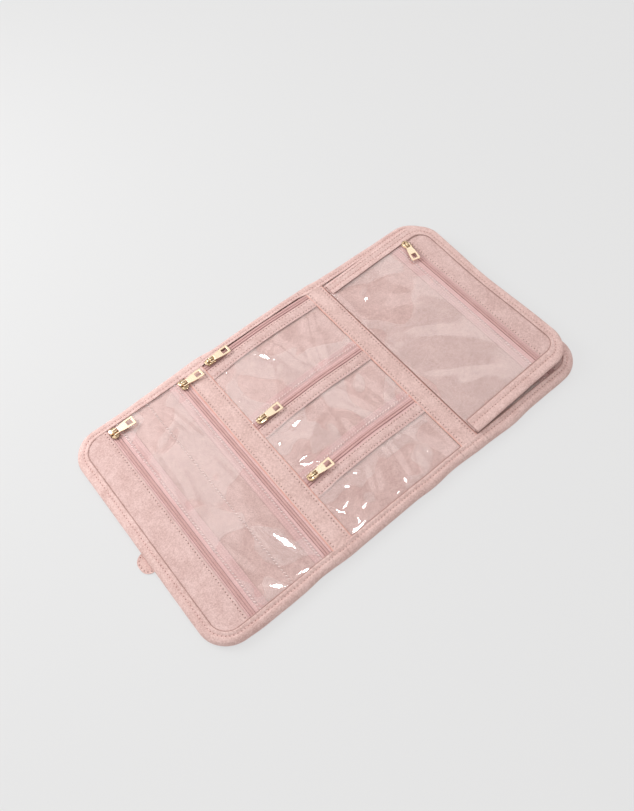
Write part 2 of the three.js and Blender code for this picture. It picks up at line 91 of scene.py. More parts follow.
bpy.context.scene.view_settings.view_transform = "Standard"

# Floor, lamps and the pale room round them
studio = {
    "floorGrey": 0.80, "floorLook": 0.782, "floorShade": 0.18, "floorReach": 8, "floorAt": -0.0004,
    "roomDim": (0.10, 0.46), "dimEdge": (0.44, 0.5), "roomTint": (1, 0.985, 0.975, 1),
    "nearWay": (-0.30, -0.92, 0.25), "nearReach": (0.25, 0.95), "nearFill": 0.42,
    "mirrorWay": (0.30, 0.42, 0.857), "mirrorReach": (0.60, 0.86), "cardLight": (0.5, 1.7),
    "cardScale": 4.2, "cardEdge": (0.41, 0.57), "cardShift": (0.35, 0.1, 0.2),
    "farSoftbox": {"at": (-0.42, 0.62, 0.55), "size": 0.4, "watts": 5.2},
    "smallLamp": {"at": (0.193, 0.129, 1.30), "size": 0.11, "watts": 1.2},
}


class NodeMaker:    # adds shader nodes; a socket takes a plain value, or another node or its output
    def __init__(self, owner):
        owner.use_nodes = True
        self.tree = owner.node_tree
        self.tree.nodes.clear()

    def add(self, kind, inputs, **settings):
        node = self.tree.nodes.new("ShaderNode" + kind)
        for key, value in settings.items():
            setattr(node, key, value)
        for key, value in inputs.items():
            if isinstance(value, bpy.types.Node):
                value = value.outputs[0]
            if isinstance(value, bpy.types.NodeSocket):
                self.tree.links.new(value, node.inputs[key])
            else:
                node.inputs[key].default_value = value
        return node

    def place(self, kind="Object"):
        return self.add("TexCoord", {}).outputs[kind]

    def seenDirectly(self):
        return self.add("LightPath", {}).outputs["Is Camera Ray"]

    def noise(self, place, scale, detail=2.0, roughness=0.5, distortion=0.0):
        return self.add("TexNoise", {"Vector": place, "Scale": scale, "Detail": detail, "Roughness": roughness,
                                     "Distortion": distortion})

    def math(self, operation, first, second):
        return self.add("Math", {0: first, 1: second}, operation=operation)

    def total(self, *shares):    # values added up, each times its share
        parts = [self.math("MULTIPLY", value, share) for value, share in shares]
        whole = parts[0]
        for part in parts[1:]:
            whole = self.math("ADD", whole, part)
        return whole

    def ranged(self, value, reach, result):
        return self.add("MapRange", {"Value": value, "From Min": reach[0], "From Max": reach[1],
                                     "To Min": result[0], "To Max": result[1]},
                        interpolation_type="SMOOTHSTEP")

    def mix(self, share, first, second):
        return self.add("MixShader", {"Fac": share, 1: first, 2: second})

    def ramp(self, value, low, dark, high, pale):
        node = self.add("ValToRGB", {"Fac": value})
        for stop, at, colour in zip(node.color_ramp.elements, (low, high), (dark, pale)):
            stop.position, stop.color = at, colour
        return node

    def relief(self, height, strength, distance):
        return self.add("Bump", {"Height": height, "Strength": strength, "Distance": distance})

    def finish(self, surface, kind="OutputMaterial"):
        self.add(kind, {"Surface": surface})


def newMaterial(name):
    material = bpy.data.materials.new(name)
    return material, NodeMaker(material)


def grey(value):
    return value, value, value, 1


def addFloor():
    bm = bmesh.new()
    bmesh.ops.create_grid(bm, x_segments=1, y_segments=1, size=studio["floorReach"])
    mesh = bpy.data.meshes.new("floor")
    bm.to_mesh(mesh)
    bm.free()
    floor = bpy.data.objects.new("floor", mesh)
    floor.location.z = studio["floorAt"]
    bpy.context.collection.objects.link(floor)
    # Seen directly the floor is mostly an even grey, and only part of its shadow shows
    material, maker = newMaterial("pale floor")
    share = maker.math("MULTIPLY", maker.seenDirectly(), 1 - studio["floorShade"])
    lit = maker.add("BsdfDiffuse", {"Color": grey(studio["floorGrey"])})
    maker.finish(maker.mix(share, lit, maker.add("Emission", {"Color": grey(studio["floorLook"])})))
    mesh.materials.append(material)


def addLamp(name, settings):
    lampData = bpy.data.lights.new(name, "AREA")
    lampData.size, lampData.energy = settings["size"], settings["watts"]
    lamp = bpy.data.objects.new(name, lampData)
    lamp.location = settings["at"]
    lamp.rotation_euler = (-Vector(settings["at"])).to_track_quat("-Z", "Y").to_euler()
    bpy.context.collection.objects.link(lamp)


def addRoom():
    world = bpy.data.worlds.new("room")
    bpy.context.scene.world = world
    maker = NodeMaker(world)
    place = maker.place("Generated")

    def lookingTo(way, reach, result):
        toWay = maker.add("VectorMath", {0: place, 1: studio[way]}, operation="DOT_PRODUCT")
        return maker.ranged(toWay.outputs["Value"], studio[reach], result)
    # The part of the room that the film mirrors has pale cards in it, and the rest is dimmer
    shifted = maker.add("Mapping", {"Vector": place, "Location": studio["cardShift"]})
    cards = maker.noise(shifted, studio["cardScale"], 1.0, 0.4)
    mirrored = lookingTo("mirrorWay", "mirrorReach", (0.0, 1.0))
    strength = maker.total((mirrored, maker.ranged(cards, studio["cardEdge"], studio["cardLight"])),
                           (maker.math("SUBTRACT", 1.0, mirrored),
                            maker.ranged(cards, studio["dimEdge"], studio["roomDim"])),
                           (lookingTo("nearWay", "nearReach", (0.0, studio["nearFill"])), 1.0))
    lit = maker.add("Background", {"Color": studio["roomTint"], "Strength": strength})
    seen = maker.add("Background", {"Color": grey(studio["floorLook"])})
    maker.finish(maker.mix(maker.seenDirectly(), lit, seen), "OutputWorld")


addFloor()
addRoom()
for lampName in ("farSoftbox", "smallLamp"):
    addLamp(lampName, studio[lampName])
print("camera, floor and lamps are in place")


# Materials. Colours are given as a picture shows them
def shade(red, green, blue):
    def toLinear(value):
        value /= 255
        return value / 12.92 if value <= 0.04045 else ((value + 0.055) / 1.055) ** 2.4
    return toLinear(red), toLinear(green), toLinear(blue), 1.0


def suedeMaterial(name, dark, pale, blotch=75, nap=900, sheen=0.25):
    material, maker = newMaterial(name)
    place = maker.place()
    slow, middle = maker.noise(place, blotch, 3.0, 0.6), maker.noise(place, blotch * 6, 3.0, 0.65)
    fine = maker.noise(place, nap, 2.0, 0.6)
    mixed = maker.total((slow, 0.30), (middle, 0.30), (fine, 0.40))
    maker.finish(maker.add("BsdfPrincipled", {
        "Base Color": maker.ramp(mixed, 0.36, shade(*dark), 0.62, shade(*pale)),
        "Normal": maker.relief(maker.total((fine, 1.0), (middle, 0.8)), 0.35, 0.00035),
        "Roughness": 0.94, "Specular IOR Level": 0.18, "Sheen Weight": sheen, "Sheen Roughness": 0.45,
        "Sheen Tint": shade(255, 226, 220)}))
    return material


def tapeMaterial(name, dark, pale):    # woven zip tape, its ribs lengthwise and across
    material, maker = newMaterial(name)
    place = maker.place()
    waves = [maker.add("TexWave", {"Vector": place, "Scale": 130, "Distortion": 0.6}, bands_direction=way)
             for way in ("X", "Y")]
    weave = maker.math("MULTIPLY", *(wave.outputs["Fac"] for wave in waves))
    mixed = maker.total((weave, 0.5), (maker.noise(place, 120, 3.0, 0.6), 0.7))
    maker.finish(maker.add("BsdfPrincipled", {
        "Base Color": maker.ramp(mixed, 0.15, shade(*dark), 0.85, shade(*pale)),
        "Normal": maker.relief(weave, 0.4, 0.0002), "Roughness": 0.7, "Sheen Weight": 0.15}))
    return material


def threadMaterial(name, dark, pale, roughness=0.6):
    material, maker = newMaterial(name)
    fine = maker.noise(maker.place(), 1500, 2.0, 0.6)
    maker.finish(maker.add("BsdfPrincipled", {
        "Base Color": maker.ramp(fine, 0.3, shade(*dark), 0.7, shade(*pale)),
        "Normal": maker.relief(fine, 0.3, 0.0001), "Roughness": roughness}))
    return material


def filmMaterial(name):    # thin clear film: mostly see-through, mirroring by the angle, a trace of haze, and painted patches of reflected light
    material, maker = newMaterial(name)
    place = maker.place()
    relief = maker.relief(maker.noise(place, 60, 0.0, 0.5), 0.03, 0.0006)
    gloss, soft = (maker.add("BsdfGlossy", {"Color": grey(1), "Roughness": roughness, "Normal": relief})
                   for roughness in (0.04, 0.2))
    # Painted reflection: paler patches with crisp edges, for soft light mirrored where it stands off the suede,
    # over a faint even haze
    paintedLightPatches = maker.ranged(maker.noise(place, 17, 0.8, 0.45, 1.1), (0.475, 0.505), (0.02, 0.13))
    clear = maker.add("BsdfTransparent", {"Color": (0.985, 0.975, 0.972, 1)})
    hazeAndPaintedLight = maker.mix(paintedLightPatches, clear, maker.add("BsdfDiffuse", {"Color": shade(248, 236, 233)}))
    outside = maker.math("SUBTRACT", 1.0, maker.add("NewGeometry", {}).outputs["Backfacing"])
    mirrored = maker.math("MULTIPLY", maker.add("Fresnel", {"IOR": 1.72, "Normal": relief}), outside)
    maker.finish(maker.mix(mirrored, hazeAndPaintedLight, maker.mix(0.22, gloss, soft)))
    return material


def metalMaterial(name, colour, roughness):
    material, maker = newMaterial(name)
    brushed = maker.noise(maker.place(), 700, 3.0, 0.6)
    uneven = maker.add("MapRange", {"Value": brushed, "To Min": roughness * 0.7, "To Max": roughness * 1.3})
    maker.finish(maker.add("BsdfPrincipled", {
        "Base Color": shade(*colour), "Metallic": 1.0, "Roughness": uneven,
        "Normal": maker.relief(brushed, 0.12, 0.0001)}))
    return material


facingSuede = suedeMaterial("facing suede", (194, 159, 153), (226, 197, 192))
bindingSuede = suedeMaterial("binding suede", (200, 164, 157), (233, 203, 197))
spineSuede = suedeMaterial("spine suede", (197, 163, 156), (229, 199, 193))
coverSuede = suedeMaterial("cover suede", (196, 160, 153), (228, 197, 190))
liningSuede = suedeMaterial("lining suede", (192, 158, 152), (226, 197, 192), blotch=60, sheen=0.12)
foldEdge = suedeMaterial("folded edge", (214, 158, 145), (230, 180, 167), sheen=0.1)
edgeShade = suedeMaterial("shade under an edge", (170, 135, 128), (192, 156, 149), sheen=0.05)
padFoam = suedeMaterial("pad foam", (226, 220, 212), (244, 240, 234), nap=1400, sheen=0.0)
zipTape = tapeMaterial("zip tape", (204, 163, 161), (226, 190, 187))
# The next two tape colours are painted shade: darker tape over the coil's band, and darker still in its middle
# slit and at its rims
zipBandShade = tapeMaterial("zip band painted shade", (186, 143, 139), (212, 172, 168))
zipGrooveShade = tapeMaterial("zip groove painted shade", (138, 96, 92), (160, 116, 112))
zipTeeth = threadMaterial("zip teeth", (196, 152, 148), (220, 178, 174), 0.5)
rowThread = threadMaterial("row thread", (220, 184, 177), (240, 208, 202))
paleThread = threadMaterial("pale thread", (224, 200, 196), (246, 230, 226), 0.5)
# Needle-hole colours are painted shade: dark dots for the shadowed dimple at each end of a stitch
needleHoleShade = threadMaterial("needle hole", (118, 80, 74), (146, 104, 97), 0.9)
softHoleShade = threadMaterial("soft needle hole", (162, 120, 113), (184, 142, 135), 0.9)
clearFilm = filmMaterial("clear film")
paleGold = metalMaterial("pale gold", (238, 216, 188), 0.27)
# The slider bodies' gold is a darker copy of the pale gold: painted shade for the dim room its curves mirror
shadedGold = metalMaterial("gold darkened as painted shade", (204, 178, 146), 0.13)
print("materials are ready")


# The loose page lies tilted on its fold, wider towards its near hinge corner
page = {
    "origin": (82.3, 0.0, 8.35), "tilt": 3.0, "length": 131.4, "half": 105.0, "corner": 27.0, "skew": 3.2,
    "coil": 94.0, "tape": (77.9, 102.5), "filmEdge": 87.0, "filmRow": 85.2, "facingEdge": 98.2,
    "facingRow": 99.9, "tapeTop": 1.8, "slider": (86.5, -105, 15), "skewFrom": -50, "lift": 0.5,
    "liftReach": (8, 60),
    # Beyond the zip its loose edge sags and draws in, everywhere and more round a place along it
    "looseFrom": 100, "sag": 1.6, "bow": 1.4, "middleBow": 3.0, "bowMiddle": (8, 52),
}
pageTilt = Matrix.Translation(page["origin"]) @ Matrix.Rotation(math.radians(-page["tilt"]), 4, "Y")


def pagePlace(spot):
    near = (1 - spot.x / page["length"]) * blendStep(page["skewFrom"], -page["half"], spot.y)
    waved = page["lift"] * blendStep(*page["liftReach"], spot.x) * drift(spot.x, spot.y, 60, 21)
    loose = blendStep(page["looseFrom"], page["length"], spot.x)
    bow = (page["bow"] + page["middleBow"] * bump(spot.y, *page["bowMiddle"])) * loose
    return pageTilt @ Vector((spot.x - bow, spot.y - page["skew"] * near, spot.z + waved - page["sag"] * loose))


# Making pieces: each is built in millimetres and scaled once; the page's are laid on its tilt
def finishPiece(name, bm, materials, body=None, stands=(), smooth=True):
    if body in ("page", "slider_page", "pull_page"):
        for vert in bm.verts:
            vert.co = pagePlace(vert.co)
    bmesh.ops.scale(bm, vec=(mm, mm, mm), verts=bm.verts)
    mesh = bpy.data.meshes.new(name)
    bm.to_mesh(mesh)
    bm.free()
    for material in materials:
        mesh.materials.append(material)
    if smooth:
        mesh.shade_smooth()
    piece = bpy.data.objects.new(name, mesh)
    bpy.context.collection.objects.link(piece)
    if body:
        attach(piece, body)
    if stands:
        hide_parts(*stands)
    return piece


def closedCurve(points, steps):    # smooth line through a few points, each with a 1 if it is rounded
    line = []
    count = len(points)
    for index in range(count):
        before, here = Vector(points[index - 1][:2]), Vector(points[index][:2])
        there, after = Vector(points[(index + 1) % count][:2]), Vector(points[(index + 2) % count][:2])
        rounded = points[index][2] and points[(index + 1) % count][2]
        for step in range(steps if rounded else 1):
            t = step / steps
            if rounded:
                bend, twist = 2 * before - 5 * here + 4 * there - after, 3 * here - before - 3 * there + after
                line.append(0.5 * ((2 * here) + (there - before) * t + bend * t * t + twist * t ** 3))
            else:
                line.append(here)
    return line


def sweptBand(alongCount, line, place):
    # A ring of points for each step along the band, from a grid rolled up round the line
    roundCount = len(line)
    bm = bmesh.new()
    bmesh.ops.create_grid(bm, x_segments=alongCount, y_segments=roundCount, size=0.5)
    for vert in bm.verts:
        along = vert.co.x + 0.5
        at = round((vert.co.y + 0.5) * roundCount) % roundCount
        vert.co = place(along, line[at])
    bmesh.ops.remove_doubles(bm, verts=bm.verts, dist=0.002)
    bmesh.ops.holes_fill(bm, edges=[edge for edge in bm.edges if edge.is_boundary], sides=0)
    bmesh.ops.recalc_face_normals(bm, faces=bm.faces)
    return bm


def spread(start, end, step, *close):    # even places, with closer ones at both ends and round each named line
    count = max(1, round(abs(end - start) / step))
    places = {round(start + (end - start) * index / count, 3) for index in range(count + 1)}
    way = 1 if end > start else -1
    for gap in (0.2, 0.5, 0.9):
        places |= {round(start + way * gap, 3), round(end - way * gap, 3)}
    for line in close:
        places |= {round(line + gap, 3) for gap in (-1.5, -0.8, 0.0, 0.8, 1.5)}
    low, high = min(start, end), max(start, end)
    return sorted(place for place in places if low <= place <= high)


def asDrawn(x, y):    # the shape of a sheet whose outline stays as its grid is
    return x, y


def clothGrid(xs, ys, top, under, shape=asDrawn):
    # A closed sheet from a grid: its top and under side follow two height rules
    bm = bmesh.new()
    bmesh.ops.create_grid(bm, x_segments=len(xs) - 1, y_segments=len(ys) - 1, size=0.5)
    for vert in bm.verts:
        x, y = shape(xs[round((vert.co.x + 0.5) * (len(xs) - 1))], ys[round((vert.co.y + 0.5) * (len(ys) - 1))])
        vert.co = (x, y, top(x, y))
    lower = bmesh.ops.extrude_face_region(bm, geom=bm.faces[:])["geom"]
    for vert in lower:
        if isinstance(vert, bmesh.types.BMVert):
            vert.co.z = under(vert.co.x, vert.co.y)
    bmesh.ops.recalc_face_normals(bm, faces=bm.faces)
    return bm


def roundedEnd(openX, edgeX, half, radius):    # draws a grid in to two rounded corners at its edgeX end
    way = 1 if edgeX > openX else -1

    def shape(x, y):
        over = max(0.0, abs(y) - (half - radius))
        limit = edgeX - way * (radius - math.sqrt(max(radius * radius - over * over, 0.0)))
        return openX + (x - openX) * (limit - openX) / (edgeX - openX), y
    return shape


# A run is a route, where it starts and its length; a route gives a spot and its inward way for a distance
def panelRun(openX, edgeX, half, radius):    # round three sides of a panel, from its near open end
    way = 1 if edgeX > openX else -1
    run, arc, rise = abs(edgeX - openX) - radius, math.pi * radius / 2, 2 * (half - radius)

    def at(distance):
        for side in (-1, 1):
            if side < 0 and distance <= run:
                return Vector((openX + way * distance, -half)), Vector((0, 1))
            distance -= run if side < 0 else 0
            if distance <= arc:
                turn = distance / radius if side < 0 else math.pi / 2 - distance / radius
                inward = Vector((-way * math.sin(turn), -side * math.cos(turn)))
                return Vector((edgeX - way * radius, side * (half - radius))) - inward * radius, inward
            distance -= arc
            if side < 0 and distance <= rise:
                return Vector((edgeX, distance - half + radius)), Vector((-way, 0))
            distance -= rise if side < 0 else 0
        return Vector((edgeX - way * (radius + distance), half)), Vector((0, -1))
    return at, 0, 2 * run + 2 * arc + rise


def straightRun(side, fromX, toX):
    return (lambda distance: (Vector((fromX + distance, side * half)), Vector((0, -side)))), 0, toX - fromX


def trimmed(run, start, end=None):
    route, first, length = run
    return route, first + start, length - start - (start if end is None else end)


def alongRun(run, count):
    route, start, length = run
    return [route(start + length * index / count) for index in range(count + 1)]


# Binding: a soft folded edge round the whole sleeve, stitched through near its inner edge
binding = {
    "section": [
        (10.0, 0.8, 1), (9.3, 0.35, 1), (7.0, 0.5, 1), (4.0, 0.1, 1), (1.7, 0.3, 1), (0.35, 1.5, 1),
        (0.0, 3.2, 1), (0.4, 5.0, 1), (1.7, 6.6, 1), (3.6, 7.6, 1), (5.6, 7.9, 1), (7.0, 7.6, 1),
        (8.4, 8.25, 1), (9.6, 8.5, 1), (10.4, 8.45, 1), (10.75, 8.1, 1), (10.3, 7.6, 0), (10.0, 3.7, 0),
        (2.4, 3.7, 0), (2.2, 1.0, 0), (9.8, 1.0, 0)],
    "step": 1.25, "topAbove": 3.5, "lowest": 0.02, "seamDepth": 7.0, "seamWidth": 1.6, "backSeam": 0.34,
    "topSeam": 7.62, "farCentreShare": 0.70, "narrowFrom": (-66, -44), "narrowTo": (52, 70), "wander": 0.35,
    "wanderSize": 26, "wanderDepth": 14, "puff": 0.28, "puffSize": 9, "ruck": 0.22, "ruckSize": 4.5,
    "edgeShade": ((10.8, 7.9), (11.5, 7.9), (11.5, 8.3), (10.8, 8.3)), "bulgeReach": (90, 114),
    # How far the worn edge stands out from the straight line, at places along it
    "farBulge": [(-190, -0.9), (-150, -1.0), (-122, 0.3), (-100, 1.4), (-62, 2.8), (-44, 0.9), (-20, 1.5),
                 (20, 2.0), (70, 1.6), (86, 0.0), (120, -0.7), (170, -1.4), (195, -1.7)],
    "nearBulge": [(-185, -0.8), (-160, 0.6), (-122, 0.7), (-102, -0.7), (-70, 0.7), (0, 0.0), (20, 0.8),
                  (47, -0.8), (80, 0.5), (115, 2.2), (142, 0.3), (175, 0.1), (195, -0.6)],
}


def bindingShare(x, y):    # the far binding is narrower along the centre panel
    if y < 0:
        return 1.0
    narrow = blendStep(*binding["narrowFrom"], x) * (1 - blendStep(*binding["narrowTo"], x))
    return 1 - (1 - binding["farCentreShare"]) * narrow


def edgeWander(x, y):    # how far the edge strays inwards
    line = binding["farBulge"] if y > 0 else binding["nearBulge"]
    bulge = line[0][1] if x < line[0][0] else line[-1][1]
    for (fromX, first), (toX, second) in zip(line, line[1:]):
        if fromX <= x < toX:
            bulge = first + (second - first) * blendStep(fromX, toX, x)
    stray = drift(x, y, binding["wanderSize"]) * binding["wander"]
    return stray - bulge * blendStep(*binding["bulgeReach"], abs(y))


def puffAndRuck(x, y):    # how the top swells along the binding, and how its seam puckers
    return (binding["puff"] * drift(x, y, binding["puffSize"], 3.1),
            binding["ruck"] * drift(x, y, binding["ruckSize"], 7.7))


def bindingPlace(run):
    route, start, length = run

    def place(along, point):
        spot, inward = route(start + along * length)
        depth, height = point
        share = bindingShare(spot.x, spot.y) if height > binding["topAbove"] else 1.0
        wave = edgeWander(spot.x, spot.y) * (1 - depth / binding["wanderDepth"])
        if height > binding["topAbove"] + 0.3:
            puff, ruck = puffAndRuck(spot.x, spot.y)
            height += puff * min(1, depth / 4) + ruck * bump(depth, binding["seamDepth"], binding["seamWidth"])
        at = spot + inward * (depth * share + wave)
        return Vector((at.x, at.y, max(height, binding["lowest"])))
    return place


def addBinding(name, run, body, stands):
    line = closedCurve(binding["section"], 3)
    bm = sweptBand(max(2, round(run[2] / binding["step"])), line, bindingPlace(run))
    piece = finishPiece(name, bm, [bindingSuede], body, stands)
    return piece


leftRun = panelRun(layout["leftFold"], layout["leftEdge"], half, layout["corner"])
rightRun = panelRun(layout["rightFold"], layout["rightEdge"], half, layout["corner"])
for label, run in (("left", leftRun), ("right", rightRun)):
    addBinding(label + "_binding", trimmed(run, reach), label + "_panel", ["binding_" + label])

# Cloth at a fold, baked where it is built and not bent: its name, where it runs, its two bodies, the fold, the
# spine it stands for
folds = [
    ("left_outer", layout["leftFold"] - reach, spineLeftMiddle, "left_panel", "left_spine", "leftFold", "left"),
    ("left_inner", spineLeftMiddle, layout["leftSpineFold"] + reach, "left_spine", "centre_panel",
     "leftSpineFold", None),
    ("right_inner", layout["rightSpineFold"] - reach, spineRightMiddle, "centre_panel", "right_spine",
     "rightSpineFold", "right"),
    ("right_outer", spineRightMiddle, layout["rightFold"] + reach, "right_spine", "right_panel",
     "rightFold", None),
]


def blendAtFold(piece, outerBody, innerBody, fold):
    start, end = (((layout[fold] + way * layout["hingeReach"]) * mm, 0, layout["hingeHeight"])
                  for way in (-1, 1))
    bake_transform(piece)
    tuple(start)
    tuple(end)


for sideName, side in (("far", 1), ("near", -1)):
    run = straightRun(side, layout["leftSpineFold"] + reach, layout["rightSpineFold"] - reach)
    addBinding("centre_binding_" + sideName, run, "centre_panel", ["binding_centre_" + sideName])
    for foldName, fromX, toX, outerBody, innerBody, fold, spine in folds:
        piece = addBinding("fold_binding_" + foldName + "_" + sideName, straightRun(side, fromX, toX), None,
                           ["binding_spine_" + spine + "_" + sideName] if spine else [])
        blendAtFold(piece, outerBody, innerBody, fold)


def addEdgeLine(name, run, body, place=None, section=binding["edgeShade"]):    # the shade beside the inner edge
    line = [Vector(point) for point in section]
    bm = sweptBand(round(run[2] / binding["step"]), line, place or bindingPlace(run))
    finishPiece(name, bm, [edgeShade], body)


addEdgeLine("left_edge_line", trimmed(leftRun, 1, 99), "left_panel")    # these two end before the far side
addEdgeLine("right_edge_line", trimmed(rightRun, 1, 109), "right_panel")
addEdgeLine("centre_edge_line", straightRun(-1, layout["leftSpineFold"] + 1, layout["rightSpineFold"] - 1),
            "centre_panel")
print("binding is made")


# Outer cover and padding of each panel and spine, and the suede linings that show through the film
cover = {"edgeInset": 3.0, "low": 0.62, "thickness": 0.6, "sag": 0.28, "heldAt": (119, 14), "hem": 0.3,
         "hemAt": (117, 9), "padLow": 2.0, "step": 5.0, "foldStep": 0.9}
coverHalf = half - cover["edgeInset"]
coverCorner = layout["corner"] - cover["edgeInset"]


def coverLow(x, y):    # it sags a little between its hems, which the binding holds
    drooped = cover["sag"] * (drift(x, y, 34, 5) - 0.2) * (1 - bump(abs(y), *cover["heldAt"]))
    return cover["low"] + cover["hem"] * bump(abs(y), *cover["hemAt"]) - drooped


def coverTop(x, y):
    return coverLow(x, y) + cover["thickness"]


def addCover(name, fromX, toX, step, body, stands, rounded=False):    # toX is the rounded end
    xs, ys = spread(fromX, toX, step), spread(-coverHalf, coverHalf, cover["step"])
    shape = roundedEnd(fromX, toX, coverHalf, coverCorner) if rounded else asDrawn
    bm = clothGrid(xs, ys, coverTop, coverLow, shape)
    piece = finishPiece(name, bm, [coverSuede], body, stands)
    return piece


addCover("left_cover", layout["leftFold"] - reach, layout["leftEdge"] + cover["edgeInset"], cover["step"],
         "left_panel", ["cover_left"], rounded=True)
addCover("centre_cover", layout["leftSpineFold"] + reach, layout["rightSpineFold"] - reach, cover["step"],
         "centre_panel", ["cover_centre"])
addCover("right_cover", layout["rightFold"] + reach, layout["rightEdge"] - cover["edgeInset"], cover["step"],
         "right_panel", ["cover_right"], rounded=True)
for foldName, fromX, toX, outerBody, innerBody, fold, spine in folds:
    piece = addCover("fold_cover_" + foldName, fromX, toX, cover["foldStep"], None,
                     ["cover_spine_" + spine] if spine else [])
    blendAtFold(piece, outerBody, innerBody, fold)

lining = {"edgeInset": 4.0, "height": 3.4, "crown": 3.15, "thickness": 0.3, "padGap": 0.25, "step": 3.0,
          "riseAtFold": (0.0, 0.6), "riseAtEdge": (4.5, 11.0), "wave": 0.13, "ripple": 0.06}


def liningTop(x, y):    # the padding lifts it to just under the film, apart from the folds and the bound edges
    toFold = min(abs(x - layout[name]) for name in ("leftFold", "leftSpineFold", "rightSpineFold", "rightFold"))
    toEdge = min(half - abs(y), x - layout["leftEdge"], layout["rightEdge"] - x)
    inside = blendStep(*lining["riseAtFold"], toFold) * blendStep(*lining["riseAtEdge"], toEdge)
    uneven = lining["wave"] * drift(x, y, 30, 2) + lining["ripple"] * drift(x, y, 9, 4)
    return lining["height"] + inside * (lining["crown"] + uneven)


def liningUnder(x, y):
    return liningTop(x, y) - lining["thickness"]


liningInset = lining["edgeInset"]
liningHalf = half - liningInset
for label, openX, edgeX in (("left", layout["leftFold"] - 0.2, layout["leftEdge"] + liningInset),
                            ("centre", layout["leftSpineFold"] + 0.2, layout["rightSpineFold"] - 0.2),
                            ("right", layout["rightFold"] + 0.2, layout["rightEdge"] - liningInset)):
    corner = layout["corner"] - liningInset
    shape = asDrawn if label == "centre" else roundedEnd(openX, edgeX, liningHalf, corner)
    grid = spread(openX, edgeX, lining["step"]), spread(-liningHalf, liningHalf, lining["step"])
    piece = finishPiece(label + "_lining", clothGrid(*grid, liningTop, liningUnder, shape), [liningSuede],
                        label + "_panel", ["lining_" + label])
    bm = clothGrid(*grid, lambda x, y: liningUnder(x, y) - lining["padGap"],
                   lambda x, y: cover["padLow"], shape)
    pad = finishPiece(label + "_pad", bm, [padFoam], label + "_panel", ["pad_" + label])
print("covers, pads and linings are made")


def gather(whole, part):    # moves one mesh into another
    mesh = bpy.data.meshes.new("gathered")
    part.to_mesh(mesh)
    part.free()
    whole.from_mesh(mesh)
    bpy.data.meshes.remove(mesh)


def manyOf(turns, around=8):    # one small rounded bar for each place, gathered a few dozen at a time
    whole = bmesh.new()
    for first in range(0, len(turns), 40):
        few = bmesh.new()
        for turn in turns[first:first + 40]:
            bmesh.ops.create_uvsphere(few, u_segments=around, v_segments=4, radius=0.5, matrix=turn)
        gather(whole, few)
    return whole


# Thread: every stitch is a small rounded bar lying along its row
stitch = {"pitch": 3.3, "size": (2.1, 0.7, 0.45), "hole": (1.15, 0.9775, 0.5), "raised": 0.05,
          "backRaised": -0.02, "filmSize": (2.6, 0.82, 0.55), "filmRaised": 0.2, "filmSlant": 32}


def stitchLine(points, offset=0.0):    # places of stitches along a line, each with its direction
    places, left = [], stitch["pitch"] / 2 + offset
    for here, there in zip(points, points[1:]):
        run = (there - here).length
        way = (there - here) / run if run > 1e-6 else Vector((1, 0, 0))
        while left <= run:
            places.append((here + way * left, way))
            left += stitch["pitch"]
        left -= run
    return places


def addStitches(name, places, body, hole=needleHoleShade, raised=stitch["raised"], material=rowThread,
                size=stitch["size"], slant=0.0):
    lift = Vector((0, 0, raised))
    size, holeSize = Matrix.Diagonal((*size, 1)), Matrix.Diagonal((*stitch["hole"], 1))
    turns = []
    for at, way in places:
        turn = Matrix.Rotation(math.atan2(way.y, way.x) + math.radians(slant), 4, "Z")
        lean = Matrix.Rotation(-math.asin(max(-1, min(1, way.z))), 4, "Y")
        turns.append(Matrix.Translation(at + lift) @ turn @ lean @ size)
    finishPiece(name, manyOf(turns), [material], body)
    # Painted shade: a dark dot at the end of each stitch for the shadowed needle hole
    if hole:
        turns = [Matrix.Translation(at + way * stitch["pitch"] / 2 + lift) @ holeSize for at, way in places]
        finishPiece(name + "_holes", manyOf(turns, 6), [hole], body)


def evenly(low, high, step=2.0):
    count = round((high - low) / step)
    return [low + (high - low) * index / count for index in range(count + 1)]


def lineOver(top, x, low, high):    # along the sleeve's depth, on a surface
    return [Vector((x, y, top(x, y))) for y in evenly(low, high)]


def addBindingStitches(label, body, runs, under):    # follow the dip along the binding, or its back
    places = []
    for run in runs:
        points = []
        for spot, inward in alongRun(run, round(run[2] / 1.5)):
            share = bindingShare(spot.x, spot.y)
            at = spot + inward * (binding["seamDepth"] * share + edgeWander(spot.x, spot.y) * 0.5)
            height = binding["backSeam"] if under else binding["topSeam"] + sum(puffAndRuck(spot.x, spot.y))
            points.append(Vector((at.x, at.y, height)))
        places += stitchLine(points)
    addStitches(label + ("_back_stitches" if under else "_binding_stitches"), places, body,
                None if under else softHoleShade, stitch["backRaised"] if under else stitch["raised"])


for under in (True, False):
    for label, run in (("left", leftRun), ("right", rightRun)):
        addBindingStitches(label, label + "_panel", [trimmed(run, 1)], under)
for body, fromX, toX in (("centre_panel", "leftSpineFold", "rightSpineFold"),
                         ("left_spine", "leftFold", "leftSpineFold"),
                         ("right_spine", "rightSpineFold", "rightFold")):
    runs = [trimmed(straightRun(side, layout[fromX], layout[toX]), 0.5) for side in (-1, 1)]
    for under in (False, True):
        addBindingStitches(body, body, runs, under)

# Flat suede: the facings, the strips between pockets and the two spines, each with rolled edges
flat = {"height": 8.05, "thickness": 0.75, "roll": 0.42, "seamDip": 0.16, "swell": 0.22, "wander": 0.22,
        "step": 3.0, "tuck": 1.2}


def rolled(value, edge):    # how far a folded edge drops right at its rim
    return flat["roll"] * math.exp(-abs(value - edge) / 0.35)


def level(x):    # a strip that doesn't bow
    return 0.0, 0.0


def acrossStrip(x, y, along, bow):    # the place across a strip that runs along x or y
    return x if along == "y" else y - bow(x)[0]


